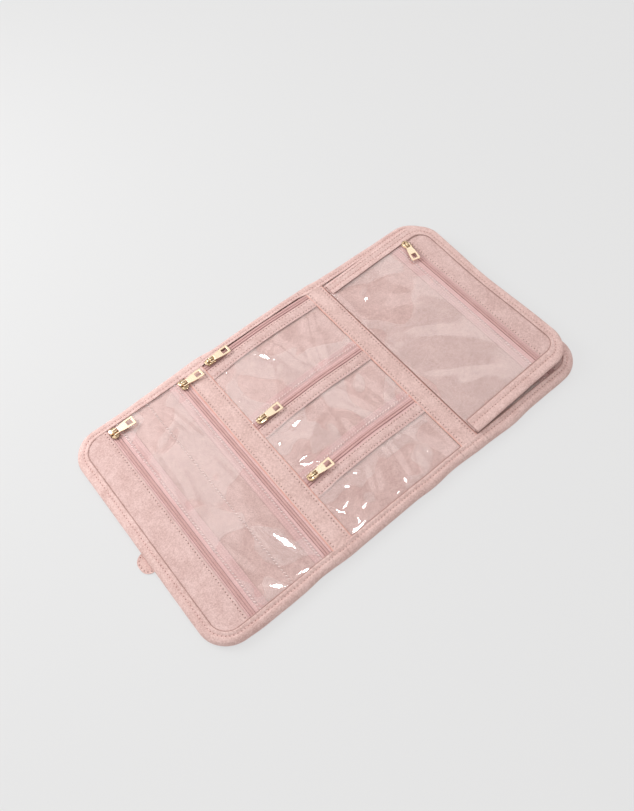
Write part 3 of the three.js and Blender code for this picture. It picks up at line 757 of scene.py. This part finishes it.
def flatSheet(name, xs, ys, rows, edges, body, stands, along="y", material=facingSuede, shape=asDrawn,
              bow=level, edgeTint=False, thickness=flat["thickness"], base=flat["height"]):
    # rows are the stitch rows and edges the open rims, both measured across the sheet
    def top(x, y):
        value = acrossStrip(x, y, along, bow)
        z = base + 0.14 * drift(x, y, 14, 6) + 0.05 * drift(x, y, 4, 9) + bow(x)[1]
        for row in rows:
            z -= flat["seamDip"] * bump(value, row, 0.9)
        if len(rows) == 2:
            swell = blendStep(rows[0], rows[0] + 2.5, value) * (1 - blendStep(rows[1] - 2.5, rows[1], value))
            z += flat["swell"] * swell
        for edge in edges:
            z -= rolled(value, edge)
        return z

    def moved(x, y):
        x, y = shape(x, y)
        wander = flat["wander"] * drift(x, y, 22, 8)
        return (x + wander, y) if along == "y" else (x, y + bow(x)[0] + wander)
    bm = clothGrid(xs, ys, top, lambda x, y: base - thickness + bow(x)[1], moved)
    if edgeTint:
        for face in bm.faces:
            middle = face.calc_center_median()
            if any(abs(middle.x - edge) < 0.75 for edge in edges) and middle.z < base + 0.1:
                face.material_index = 1
    return finishPiece(name, bm, [material, foldEdge], body, stands), top


innerHalf = half - 10.3    # where the binding's inner edge lies
tuck = flat["tuck"]
tuckedY = spread(-innerHalf - tuck, innerHalf + tuck, flat["step"])
filmEnd = innerHalf + 0.8
sideFacings = {
    "left": {"edge": -169.5, "row": -172.0, "outer": -196.7 - tuck, "zip": "zip_left_outer",
             "flat": (0.0284, 0.2198), "area": 0.0061},
    "right": {"edge": 183.5, "row": 186.0, "outer": 205.2 + tuck, "zip": "zip_right",
              "flat": (0.0229, 0.2198), "area": 0.0049},
}
facingTops = {}
for sideName, strip in sideFacings.items():
    shape = roundedEnd(strip["edge"], strip["outer"], innerHalf + tuck, 18.5)
    piece, facingTops[sideName] = flatSheet(
        sideName + "_facing", spread(strip["edge"], strip["outer"], flat["step"], strip["row"]), tuckedY,
        [strip["row"]], [strip["edge"]], sideName + "_panel", ["facing_" + sideName], shape=shape)

spines = {
    "left": {"edges": (-84.2, -63.6), "rows": (-81.5, -67.0)},
    "right": {"edges": (63.0, 82.4), "rows": (66.0, 79.5)},
}
for sideName, spine in spines.items():
    body = sideName + "_spine"
    piece, top = flatSheet(
        body, spread(*spine["edges"], 1.6, *spine["rows"]), spread(-innerHalf - tuck, innerHalf + tuck, 2.5),
        spine["rows"], spine["edges"], body, ["strip_spine_" + sideName], material=spineSuede, edgeTint=True,
        thickness=1.3, base=8.15)
    places = []
    for row in spine["rows"]:
        places += stitchLine(lineOver(top, row, -innerHalf, innerHalf))
    addStitches(body + "_stitches", places, body)
for sideName, strip in sideFacings.items():
    places = stitchLine(lineOver(facingTops[sideName], strip["row"], -innerHalf, innerHalf))
    addStitches(sideName + "_facing_stitches", places, sideName + "_panel")

# Centre panel: three zipped pockets one above the other, each zip between a strip and the film over it
centre = {
    "far": {"coil": 107.6, "edges": (92.2, 104.0), "rows": (94.8, 102.4), "tape": (94.5, 110.6)},
    "middle": {"coil": 26.5, "edges": (11.6, 23.5), "rows": (14.3, 21.6), "tape": (13.5, 39.5)},
    "near": {"coil": -46.0, "edges": (-62.2, -50.5), "rows": (-59.5, -52.0), "tape": (-59.0, -33.0)},
}
openLeft, openRight = layout["leftSpineFold"] + 0.2, layout["rightSpineFold"] - 0.2
pocketBend = {"dip": 2.6, "dipUntil": (-66, -28), "rise": 1.1, "riseAt": (10, 34), "drop": 0.25}


def pocketBow(x):    # the strips dip where the spine holds them down: sideways and in height
    sag = pocketBend["dip"] * (1 - blendStep(*pocketBend["dipUntil"], x)) - pocketBend["rise"] * bump(
        x, *pocketBend["riseAt"])
    return -sag, -pocketBend["drop"] * sag


def alongPocket(top, at):
    line = [(x, at + pocketBow(x)[0]) for x in evenly(openLeft, openRight)]
    return [Vector((x, y, top(x, y))) for x, y in line]


for rowName, row in centre.items():
    piece, top = flatSheet(
        "centre_strip_" + rowName, spread(openLeft, openRight, flat["step"]),
        spread(*row["edges"], 1.4, *row["rows"]), row["rows"], row["edges"], "centre_panel",
        ["strip_centre_" + rowName], along="x", bow=pocketBow)
    places = []
    for line in row["rows"]:
        places += stitchLine(alongPocket(top, line))
    addStitches("centre_strip_stitches_" + rowName, places, "centre_panel")
print("suede facings, strips and spines are made")


# Zips: woven tape with the two rows of coil turns that close it
zipForm = {"tapeTop": 7.25, "tapeThickness": 0.3, "pitch": 1.25, "turn": (1.9, 0.8, 0.5), "turnHeight": 0.46,
           "firstTurn": 0.4, "rowOffset": 1.25, "lean": 7.0, "band": 0.6, "bandWidth": 2.4, "groove": 0.09}


def addZip(name, body, stands, coil, tape, ends, along="y", top=zipForm["tapeTop"], bow=level):
    (low, high), (start, end) = tape, ends

    def tapeHeight(x, y):
        across = acrossStrip(x, y, along, bow)
        z = top + bow(x)[1] + 0.10 * drift(x, y, 12, 11)
        fromCoil = abs(across - coil)
        offset = abs(fromCoil / zipForm["bandWidth"] * 2 - 1.08)
        band = zipForm["band"] * max(0.0, 1 - offset ** 4) ** 0.5 if fromCoil > zipForm["groove"] else 0.1
        return z + band + 0.12 * (bump(across, low + 0.7, 0.5) + bump(across, high - 0.7, 0.5))
    gaps = (0.0, 0.12, 0.3, 0.8, 1.3, 1.8, 2.2, 2.45, 2.6, 2.9)    # closer places over the coil's band
    acrossPlaces = set(spread(low, high, 2.0)) | {coil + side * gap for side in (-1, 1) for gap in gaps}
    acrossPlaces = sorted(place for place in acrossPlaces if low <= place <= high)
    alongPlaces = spread(start, end, 2.5)
    xs, ys = (acrossPlaces, alongPlaces) if along == "y" else (alongPlaces, acrossPlaces)
    bm = clothGrid(xs, ys, tapeHeight, lambda x, y: top - zipForm["tapeThickness"] + bow(x)[1],
                   lambda x, y: (x, y + bow(x)[0]))
    # Painted shade: faces over the coil's band take the darker band colour, and its slit and rims the darkest
    # one
    for face in bm.faces:
        middle = face.calc_center_median()
        off = abs(acrossStrip(middle.x, middle.y, along, bow) - coil)
        if off < zipForm["bandWidth"] + 0.3:
            face.material_index = 2 if off < 0.14 or off > zipForm["bandWidth"] - 0.15 else 1
    piece = finishPiece(name + "_tape", bm, [zipTape, zipBandShade, zipGrooveShade], body, stands)
    turns = []
    for index in range(int((end - start) / zipForm["pitch"])):
        for side in (-1, 1):
            step = start + (index + (0.5 if side > 0 else 0)) * zipForm["pitch"] + zipForm["firstTurn"]
            across = coil + side * zipForm["rowOffset"]
            x, y = (across, step) if along == "y" else (step, across + bow(step)[0])
            angle = (0 if along == "y" else math.pi / 2) + math.radians(zipForm["lean"]) * side
            turns.append(Matrix.Translation((x, y, top + zipForm["turnHeight"] + bow(x)[1]))
                         @ Matrix.Rotation(angle, 4, "Z") @ Matrix.Diagonal((*zipForm["turn"], 1)))
    finishPiece(name + "_teeth", manyOf(turns), [zipTeeth], body)


innerEnd = innerHalf - 0.2
# The slider's row says how far along its zip it stands, and how far its pull and its bridge are turned
sideZips = {
    "left_outer": {"body": "left_panel", "coil": -165.5, "tape": (-173.8, -150.5), "slider": (100.8, 0, 90)},
    "left_inner": {"body": "left_panel", "coil": -89.0, "tape": (-102.0, -83.75), "slider": (102.2, 0, 90)},
    "right": {"body": "right_panel", "coil": 179.5, "tape": (164.5, 187.8), "slider": (100.8, -90, 0)},
}
for label, row in sideZips.items():
    addZip(label + "_zip", row["body"], ["zip_" + label], row["coil"], row["tape"], (-innerEnd, innerEnd))
for rowName, row in centre.items():
    addZip("centre_zip_" + rowName, "centre_panel", ["zip_centre_" + rowName], row["coil"], row["tape"],
           (openLeft, openRight), "x", bow=pocketBow)
print("zips are made")

# Clear film over each pocket. A crease is (x, y, direction in degrees, length, width, lift), and a lift
# under 0 is a hollow
film = {"height": 7.85, "thickness": 0.3, "step": 1.4, "fineStep": 0.55, "ripple": 0.5, "held": 6.0}


def glint(x, y, degrees, length, width, onPage=False):
    # A small facet, turned so that it mirrors the small lamp
    spot = (pagePlace(Vector((x, y, 2.6))) if onPage else Vector((x, y, 8.0))) * mm
    normal = (Vector(studio["smallLamp"]["at"]) - spot).normalized() + (cameraAt - spot).normalized()
    if onPage:
        normal = pageTilt.to_3x3().inverted() @ normal
    return (x, y, degrees, length, width, (-normal.x / normal.z, -normal.y / normal.z))


def creaseHeight(x, y, creases):    # the height that they add, and how far the place is on a facet
    z, facet, still = 0.0, 0.0, 0.0
    for atX, atY, degrees, length, width, lift in creases:
        dx, dy = x - atX, y - atY
        if abs(dx) + abs(dy) > 3.0 * (length + width):
            continue
        c, s = math.cos(math.radians(degrees)), math.sin(math.radians(degrees))
        along, across = (dx * c + dy * s) / length, (dy * c - dx * s) / width
        if isinstance(lift, tuple):
            share = math.exp(-(along * along + across * across) ** 3)
            facet += (lift[0] * dx + lift[1] * dy) * share
            still = max(still, share)
        else:
            z += lift * math.exp(-across * across - along ** 4)
    return facet + z * (1 - still), still


def finerRound(places, middle, reach):
    low, high = max(min(places), middle - reach), min(max(places), middle + reach)
    count = max(1, round((high - low) / film["fineStep"]))
    kept = [place for place in places if not low + 0.2 < place < high - 0.2 or place in (places[0], places[-1])]
    return sorted(set(kept) | {round(low + (high - low) * index / count, 3) for index in range(count + 1)})


def addFilm(name, body, stands, bounds, creases, seed, seams=(), along="y", bow=level, rise=1.0,
            height=film["height"]):
    x0, x1, y0, y1 = bounds    # seams are the rows that hold it down

    def top(x, y):
        fromSeams = [abs(acrossStrip(x, y, along, bow) - row) + 1.2 for row in seams]
        near = min([x - x0, x1 - x, y - y0, y1 - y] + fromSeams)
        free = blendStep(0, film["held"], near)
        wave = 0.62 * drift(x, y, 38, seed) + 0.30 * drift(x * 0.75 + y * 0.4, y * 0.6 - x * 0.3, 15, seed + 3)
        lift, still = creaseHeight(x, y, creases)
        calm = height + free * film["ripple"] * rise * wave * (1 - still) + 0.25 * rise * free
        return calm + blendStep(0, 1.5, near) * lift
    xs, ys = spread(x0, x1, film["step"]), spread(y0, y1, film["step"])
    for atX, atY, degrees, length, width, lift in creases:
        if isinstance(lift, tuple):    # finer where a facet is
            c, s = abs(math.cos(math.radians(degrees))), abs(math.sin(math.radians(degrees)))
            xs = finerRound(xs, atX, length * c + width * s)
            ys = finerRound(ys, atY, length * s + width * c)
    bm = clothGrid(xs, ys, top, lambda x, y: top(x, y) - film["thickness"], lambda x, y: (x, y + bow(x)[0]))
    piece = finishPiece(name, bm, [clearFilm], body, stands)
    return top


leftFilmRows = (-158.5, -126.0, -95.5)    # the middle one parts the pocket
leftFilmTop = addFilm(
    "left_film", "left_panel", ["window_left"], (-160.0, -94.0, -filmEnd, filmEnd),
    [glint(-110, -74.5, -71, 20, 3.6), glint(-137, -101.5, -38, 12, 2.6), (-146, 12, 75, 30, 8, 0.9),
     (-118, -85, -60, 26, 7, -0.7), (-112, 5, 96, 34, 6, 0.7), (-140, 62, 78, 34, 7, 0.7),
     (-112, 70, 100, 30, 5, 0.6), (-146, -50, 105, 34, 6, 0.6)],
    1.3, leftFilmRows, rise=0.8)
rightFilmRow = 170.5
rightFilmTop = addFilm("right_film", "right_panel", ["window_right"], (82.2, 172.0, -filmEnd, filmEnd),
                       [glint(108, 104, 0, 12, 3.0)], 4.1, [rightFilmRow])
centreFilms = {
    "far": {"y": (31.0, 93.4), "seed": 7.2, "rows": [33.5], "creases": [
        glint(-12.5, 78.5, -62, 10, 3.2), glint(-60, 54, 40, 3, 2), glint(-50, 88, 8, 4, 1.6),
        (34, 60, 62, 34, 6, -0.9), (8, 66, 100, 26, 6, 0.8), (-22, 48, 55, 22, 6, 0.7),
        (46, 76, 50, 18, 5, 0.6), (18, 42, 75, 18, 5, 0.6), (-2, 84, 30, 16, 4, 0.5)]},
    "middle": {"y": (-41.0, 12.8), "seed": 9.6, "rows": [-39.0], "creases": [
        glint(-33.5, 3.5, 10, 7, 3), glint(-59, -3, 20, 4.5, 1.8), glint(-51, -34, -39, 13, 2.2),
        glint(-50, -27, -5, 7, 1.6), (-2, -12, 80, 26, 7, 0.9), (26, -8, 112, 30, 6, -0.8),
        (-22, -10, 30, 20, 7, 0.8), (40, -20, 95, 22, 5, 0.7), (12, -24, 120, 18, 5, 0.6)]},
    "near": {"y": (-109.5, -61.2), "seed": 12.4, "rows": [], "creases": [
        glint(-27, -65, -28, 8, 1.7), glint(-38, -72, -40, 3.4, 2), glint(-59, -83, -60, 10, 1.7),
        glint(-49, -84, 20, 6.5, 1.6), glint(-38, -95, 25, 5, 1.8), glint(-50, -101, 60, 4, 1.5),
        glint(-8, -105, 4, 3.5, 1.6), (10, -84, 78, 20, 5, 0.8), (38, -82, 110, 24, 6, 0.8),
        (-14, -80, 62, 16, 5, -0.7), (24, -92, 60, 18, 5, 0.6)]},
}
centrePlaces = []
for rowName, row in centreFilms.items():
    top = addFilm("centre_film_" + rowName, "centre_panel", ["window_centre_" + rowName],
                  (openLeft, openRight, *row["y"]), row["creases"], row["seed"],
                  row["rows"], "x", pocketBow)
    for line in row["rows"]:
        centrePlaces += stitchLine(alongPocket(top, line))


# Pale slanted stitches that hold the film to the zips and part the left pocket
def addFilmStitches(name, body, places):
    addStitches(name, places, body, None, stitch["filmRaised"], paleThread, stitch["filmSize"],
                stitch["filmSlant"])


leftPlaces = []
for line in leftFilmRows:
    leftPlaces += stitchLine(lineOver(leftFilmTop, line, -innerEnd, innerEnd))
addFilmStitches("left_film_stitches", "left_panel", leftPlaces)
addFilmStitches("right_film_stitches", "right_panel",
                stitchLine(lineOver(rightFilmTop, rightFilmRow, -innerEnd, innerEnd)))
addFilmStitches("centre_film_stitches", "centre_panel", centrePlaces)
print("clear films are made")


# Page: a flat pocket of its own, bound on three sides, with a zip and a facing
pageBinding = {
    "section": [
        (10.0, 0.55, 1), (9.0, 0.2, 1), (5.0, 0.05, 1), (1.6, 0.1, 1), (0.3, 0.8, 1), (0.0, 1.8, 1),
        (0.35, 2.8, 1), (1.4, 3.4, 1), (3.2, 3.65, 1), (5.2, 3.6, 1), (6.9, 3.2, 1), (8.4, 3.6, 1),
        (9.9, 3.7, 1), (10.6, 3.55, 1), (10.8, 3.2, 1), (10.3, 2.8, 0), (2.4, 2.75, 0), (2.2, 0.7, 0),
        (9.8, 0.65, 0)],
    "sideShare": 1.38, "evenDepth": 3, "topAbove": 2.9, "endInset": 1.0, "rowDepth": 6.9,
    "rowHeight": 3.28, "rowStart": 1.5,
    "edgeShade": ((10.9, 2.95), (11.5, 2.95), (11.5, 3.2), (10.9, 3.2)),
    "shadeShare": 0.78,    # the shade beside it doesn't run along the far side
}
pageRun = panelRun(0, page["length"], page["half"], page["corner"])


def pageInward(spot, inward, depth, wave=0.0):    # wider along the two side edges than at the loose edge
    share = 1 + (pageBinding["sideShare"] - 1) * abs(inward.y) ** 2
    even = pageBinding["evenDepth"]
    return spot + inward * (even + (depth - even) * share + wave)


def pageBindingPlace(along, point):
    route, start, length = trimmed(pageRun, pageBinding["endInset"])
    spot, inward = route(start + along * length)
    depth, height = point
    wave = 0.3 * drift(spot.x, spot.y, 24, 31) * (1 - depth / binding["wanderDepth"])
    if height > pageBinding["topAbove"] and depth > pageBinding["evenDepth"]:
        at = pageInward(spot, inward, depth, wave)
    else:
        at = spot + inward * (depth + wave)
    if height > pageBinding["topAbove"] + 0.1:
        nearRow = bump(depth, pageBinding["rowDepth"], binding["seamWidth"])
        ruck = 0.14 * drift(spot.x, spot.y, 4.5, 8.7) * nearRow
        height += 0.2 * drift(spot.x, spot.y, 9, 5.1) + ruck
    return Vector((at.x, at.y, height))


addEdgeLine("page_edge_line", pageRun, "page",
            lambda along, point: pageBindingPlace(along * pageBinding["shadeShare"], point),
            pageBinding["edgeShade"])
bm = sweptBand(round(pageRun[2] / binding["step"]), closedCurve(pageBinding["section"], 3), pageBindingPlace)
piece = finishPiece("page_binding", bm, [bindingSuede], "page", ["binding_page"])
path = []
rowRun = trimmed(pageRun, pageBinding["rowStart"])
for spot, inward in alongRun(rowRun, int(rowRun[2] / 1.5)):
    at = pageInward(spot, inward, pageBinding["rowDepth"])
    path.append(Vector((at.x, at.y, pageBinding["rowHeight"])))
farRow = [Vector((x, page["half"] - 3.4, 3.66)) for x in evenly(2, 104)]
for name, line in (("page_binding_stitches", path), ("page_far_stitches", farRow)):
    addStitches(name, stitchLine(line), "page", softHoleShade)

pageLayerHalf, pageLayerX = page["half"] - 3.2, page["length"] - 3.2
bm = clothGrid(spread(0, pageLayerX, 3.5), spread(-pageLayerHalf, pageLayerHalf, 3.5),
               lambda x, y: 1.15 + 0.12 * drift(x, y, 17, 13), lambda x, y: 0.8 + 0.1 * drift(x, y, 17, 13),
               roundedEnd(0, pageLayerX, pageLayerHalf, page["corner"] - 3.2))
piece = finishPiece("page_lining", bm, [liningSuede], "page", ["lining_page"])
addZip("page_zip", "page", ["zip_page"], page["coil"], page["tape"], (-91.5, 91.5), top=page["tapeTop"])
piece, top = flatSheet(
    "page_facing", spread(page["facingEdge"], pageLayerX - 5, flat["step"], page["facingRow"]),
    spread(-95, 95, flat["step"]), [page["facingRow"]], [page["facingEdge"]], "page", ["facing_page"],
    shape=roundedEnd(page["facingEdge"], pageLayerX, pageLayerHalf - 10, page["corner"] - 8),
    thickness=0.5, base=2.6)
addStitches("page_facing_stitches", stitchLine(lineOver(top, page["facingRow"], -91, 91)), "page")
top = addFilm("page_film", "page", ["window_page"], (0.2, page["filmEdge"], -93, 93), [
    glint(20.7, 65, 35, 4.6, 2.3, onPage=True), (30, 40, -20, 34, 9, 1.1), (22, 12, -28, 40, 10, -0.9),
    (52, -20, -46, 46, 9, 0.9), (30, -44, -35, 34, 8, -0.7), (64, 40, -65, 40, 9, 0.7),
    (40, -72, -20, 24, 7, 0.8)], 15.2, [page["filmRow"]], rise=0.8, height=2.4)
addFilmStitches("page_film_stitches", "page", stitchLine(lineOver(top, page["filmRow"], -91, 91)))
print("page is made")


# Sliders and pulls in pale gold; the slider bodies take a darker gold, painted shade
sliderForm = {
    "centreAt": -54.7, "length": 11.5, "width": 8.2, "tail": 6.4, "low": 9.25, "plate": 0.9, "soften": 0.22,
    "bridgeReach": 3.72, "bridgeTop": 12.0, "bridgeSink": 0.25, "axis": 10.9, "flange": (8.6, 1.1, 1.0),
    "flangeAt": (0.3, 3.15, -0.3),
    "bridgeSection": [(-1.0, -0.2, 1), (-0.8, 0.25, 1), (0, 0.36, 1), (0.8, 0.25, 1), (1.0, -0.2, 1),
                      (0, -0.34, 1)],
}
pullForm = {
    "stations": [    # half widths along it, from its axis
        (-0.45, 2.45), (-0.25, 2.85), (0.15, 3.0), (0.45, 3.0), (2.5, 3.0), (4.6, 3.0), (5.4, 3.05),
        (6.6, 3.3), (9.0, 3.75), (13.6, 4.25), (16.4, 4.4), (19.4, 4.5), (20.7, 4.5), (21.2, 4.4),
        (21.45, 4.1), (21.5, 3.6)],
    "eye": (0.45, 4.6, 2.0), "window": (13.6, 19.4, 2.4), "thickness": 0.9, "bevel": 0.16,
}


def softenEdges(bm, width, segments, turn=40):
    sharp = [edge for edge in bm.edges
             if len(edge.link_faces) == 2 and edge.calc_face_angle() > math.radians(turn)]
    bmesh.ops.bevel(bm, geom=sharp, offset=width, segments=segments, profile=0.5, affect="EDGES", material=-1)


def thicken(bm, rise):
    for vert in bmesh.ops.extrude_face_region(bm, geom=bm.faces[:])["geom"]:
        if isinstance(vert, bmesh.types.BMVert):
            vert.co.z += rise


def squarish(value, reach):    # rounds a circle out towards a square
    return math.copysign(abs(value) ** 0.62, value) * reach


def pullMesh():
    stations = pullForm["stations"]
    bm = bmesh.new()
    bmesh.ops.create_grid(bm, x_segments=len(stations) - 1, y_segments=3, size=0.5)
    eyeFrom, eyeTo, eyeHalf = pullForm["eye"]
    windowFrom, windowTo, windowHalf = pullForm["window"]
    for vert in bm.verts:
        u, halfWidth = stations[round((vert.co.x + 0.5) * (len(stations) - 1))]
        widened = min(1, max(0, u - eyeTo) / (windowFrom - eyeTo))
        inner = eyeHalf + (windowHalf - eyeHalf) * widened
        across = (-halfWidth, -inner, inner, halfWidth)[round((vert.co.y + 0.5) * 3)]
        vert.co = (u, across, -pullForm["thickness"] / 2)
    holes = []
    for face in bm.faces:
        middle = face.calc_center_median()
        if abs(middle.y) < 1 and (eyeFrom < middle.x < eyeTo or windowFrom < middle.x < windowTo):
            holes.append(face)
    bmesh.ops.delete(bm, geom=holes, context="FACES")
    thicken(bm, pullForm["thickness"])
    bmesh.ops.recalc_face_normals(bm, faces=bm.faces)
    softenEdges(bm, pullForm["bevel"], 2)
    return bm


def sliderMesh(zipTurn):
    bm = bmesh.new()
    low, thick = sliderForm["low"], sliderForm["plate"]
    bmesh.ops.create_circle(bm, cap_ends=True, segments=36, radius=1)
    for vert in bm.verts:
        along, across = vert.co.x, vert.co.y
        halfWidth = (sliderForm["width"] + (sliderForm["tail"] - sliderForm["width"]) * (1 - along) / 2) / 2
        vert.co = (squarish(along, sliderForm["length"] / 2), squarish(across, halfWidth), low)
    thicken(bm, thick)
    for side in (-1, 1):
        along, across, drop = sliderForm["flangeAt"]
        place = Matrix.Translation((along, side * across, low + drop))
        bmesh.ops.create_cube(bm, size=1, matrix=place @ Matrix.Diagonal((*sliderForm["flange"], 1)))
    bmesh.ops.recalc_face_normals(bm, faces=bm.faces)
    softenEdges(bm, sliderForm["soften"], 2)
    bmesh.ops.rotate(bm, matrix=Matrix.Rotation(zipTurn, 3, "Z"), verts=bm.verts)
    foot = low + thick - sliderForm["bridgeSink"]    # where the bridge stands in the plate
    rise = sliderForm["bridgeTop"] - foot

    def arch(along, point):
        turn = math.pi * (1 - along)
        c, s = math.cos(turn), max(math.sin(turn), 0)
        middle = Vector((squarish(c, sliderForm["bridgeReach"]), 0, foot + rise * s ** 0.55))
        out = Vector((c * 0.8, 0, max(s, 0.15))).normalized()
        wide = 1.15 + 0.35 * abs(c) ** 3
        return middle + Vector((0, point.x * wide, 0)) + out * point.y
    gather(bm, sweptBand(18, closedCurve(sliderForm["bridgeSection"], 2), arch))
    return bm


def addSlider(label, x, y, degrees, zipTurn, tapeTop=zipForm["tapeTop"]):
    turn = Matrix.Rotation(math.radians(degrees), 4, "Z")
    place = Matrix.Translation((x, y, tapeTop - zipForm["tapeTop"])) @ turn
    bm = sliderMesh(math.radians(zipTurn))
    bmesh.ops.transform(bm, matrix=place, verts=bm.verts)
    # Its body takes the darker gold, painted shade
    finishPiece("slider_body_" + label, bm, [shadedGold], "slider_" + label, ["slider_" + label])
    bm = pullMesh()
    bmesh.ops.transform(bm, matrix=place @ Matrix.Translation((0, 0, sliderForm["axis"])), verts=bm.verts)
    body = "slider_right" if label == "right" else "pull_" + label
    finishPiece("slider_pull_" + label, bm, [paleGold], body, ["pull_" + label], smooth=False)


for label in ("left_outer", "left_inner"):
    addSlider(label, sideZips[label]["coil"], *sideZips[label]["slider"])
for rowName, row in centre.items():
    addSlider("centre_" + rowName, sliderForm["centreAt"], row["coil"], 0, 0)
addSlider("right", sideZips["right"]["coil"], *sideZips["right"]["slider"])
addSlider("page", page["coil"], *page["slider"], page["tapeTop"])
print("sliders are made")

# Closing strap under the left panel, its snap and the patch at its sewn end
strap = {
    "root": -61.3, "tip": -215.4, "middle": -15.5, "half": 10.0, "tipRadius": 8.5, "top": 0.78, "rowInset": 1.8,
    "snapAt": -198.5, "studAt": 136.0, "patchSide": 20.0, "patchRow": 8.0,
    "cap": [(0, 0.06), (3.2, 0.1), (4.9, 0.3), (5.5, 0.1), (5.95, 0.35), (5.8, 0.78), (0, 0.79)],
    "stud": [(0, 0.0), (1.6, 0.05), (2.0, 0.3), (1.9, 0.5), (4.6, 0.55), (5.8, 0.4), (5.95, 0.6),
             (5.8, 0.8), (0, 0.8)],
}
row = strap["half"] - strap["rowInset"]
bm = clothGrid(spread(strap["root"], strap["tip"], 2.0), spread(-strap["half"], strap["half"], 1.6),
               lambda x, y: strap["top"] - 0.1 * bump(abs(y), row, 0.7), lambda x, y: 0.02,
               roundedEnd(strap["root"], strap["tip"], strap["half"], strap["tipRadius"]))
bmesh.ops.translate(bm, vec=(0, strap["middle"], 0), verts=bm.verts)
piece = finishPiece("strap", bm, [coverSuede], "strap", ["closing_strap"])
tabRoute, start, length = panelRun(strap["root"], strap["tip"], strap["half"], strap["tipRadius"])
count = int((length - 4) / 1.5)
path = []
for spot, inward in alongRun((tabRoute, 2, 1.5 * count), count):
    at = spot + inward * strap["rowInset"]
    path.append(Vector((at.x, at.y + strap["middle"], strap["top"] - 0.1)))
addStitches("strap_stitches", stitchLine(path), "strap")
patchLow, patchHalf = strap["root"] + 0.3, strap["patchSide"] / 2
bm = clothGrid(spread(patchLow, patchLow + strap["patchSide"], 2.0),
               spread(strap["middle"] - patchHalf, strap["middle"] + patchHalf, 2.0),
               lambda x, y: 0.72 + 0.05 * drift(x, y, 8, 3), lambda x, y: 0.04)
piece = finishPiece("strap_root_patch", bm, [coverSuede], "centre_panel", ["strap_patch"])
patchMiddle = Vector((patchLow + patchHalf, strap["middle"], 0.02))
corners = [patchMiddle + Vector((across, along, 0)) * strap["patchRow"]
           for across, along in ((-1, -1), (1, -1), (1, 1), (-1, 1))]
places = []
for index in range(4):
    start, end = corners[index], corners[(index + 1) % 4]
    places += stitchLine([start.lerp(end, step / 8) for step in range(9)], offset=0.6)
addStitches("strap_patch_stitches", places, "centre_panel", raised=0.12)


def addSnap(name, x, profile, body, stands):    # turned metal part, its face down
    bm = bmesh.new()
    verts = [bm.verts.new((x + radius, strap["middle"], height)) for radius, height in profile]
    for first, second in zip(verts, verts[1:]):
        bm.edges.new((first, second))
    bmesh.ops.spin(bm, geom=bm.verts[:] + bm.edges[:], cent=(x, strap["middle"], 0), axis=(0, 0, 1),
                   dvec=(0, 0, 0), angle=2 * math.pi, steps=40, use_merge=True)
    bmesh.ops.remove_doubles(bm, verts=bm.verts, dist=0.001)
    bmesh.ops.recalc_face_normals(bm, faces=bm.faces)
    finishPiece(name, bm, [paleGold], body, stands)


addSnap("snap_cap_metal", strap["snapAt"], strap["cap"], "strap", ["snap_cap"])
addSnap("snap_stud_metal", strap["studAt"], strap["stud"], "right_panel", ["snap_stud"])
print("strap is made")
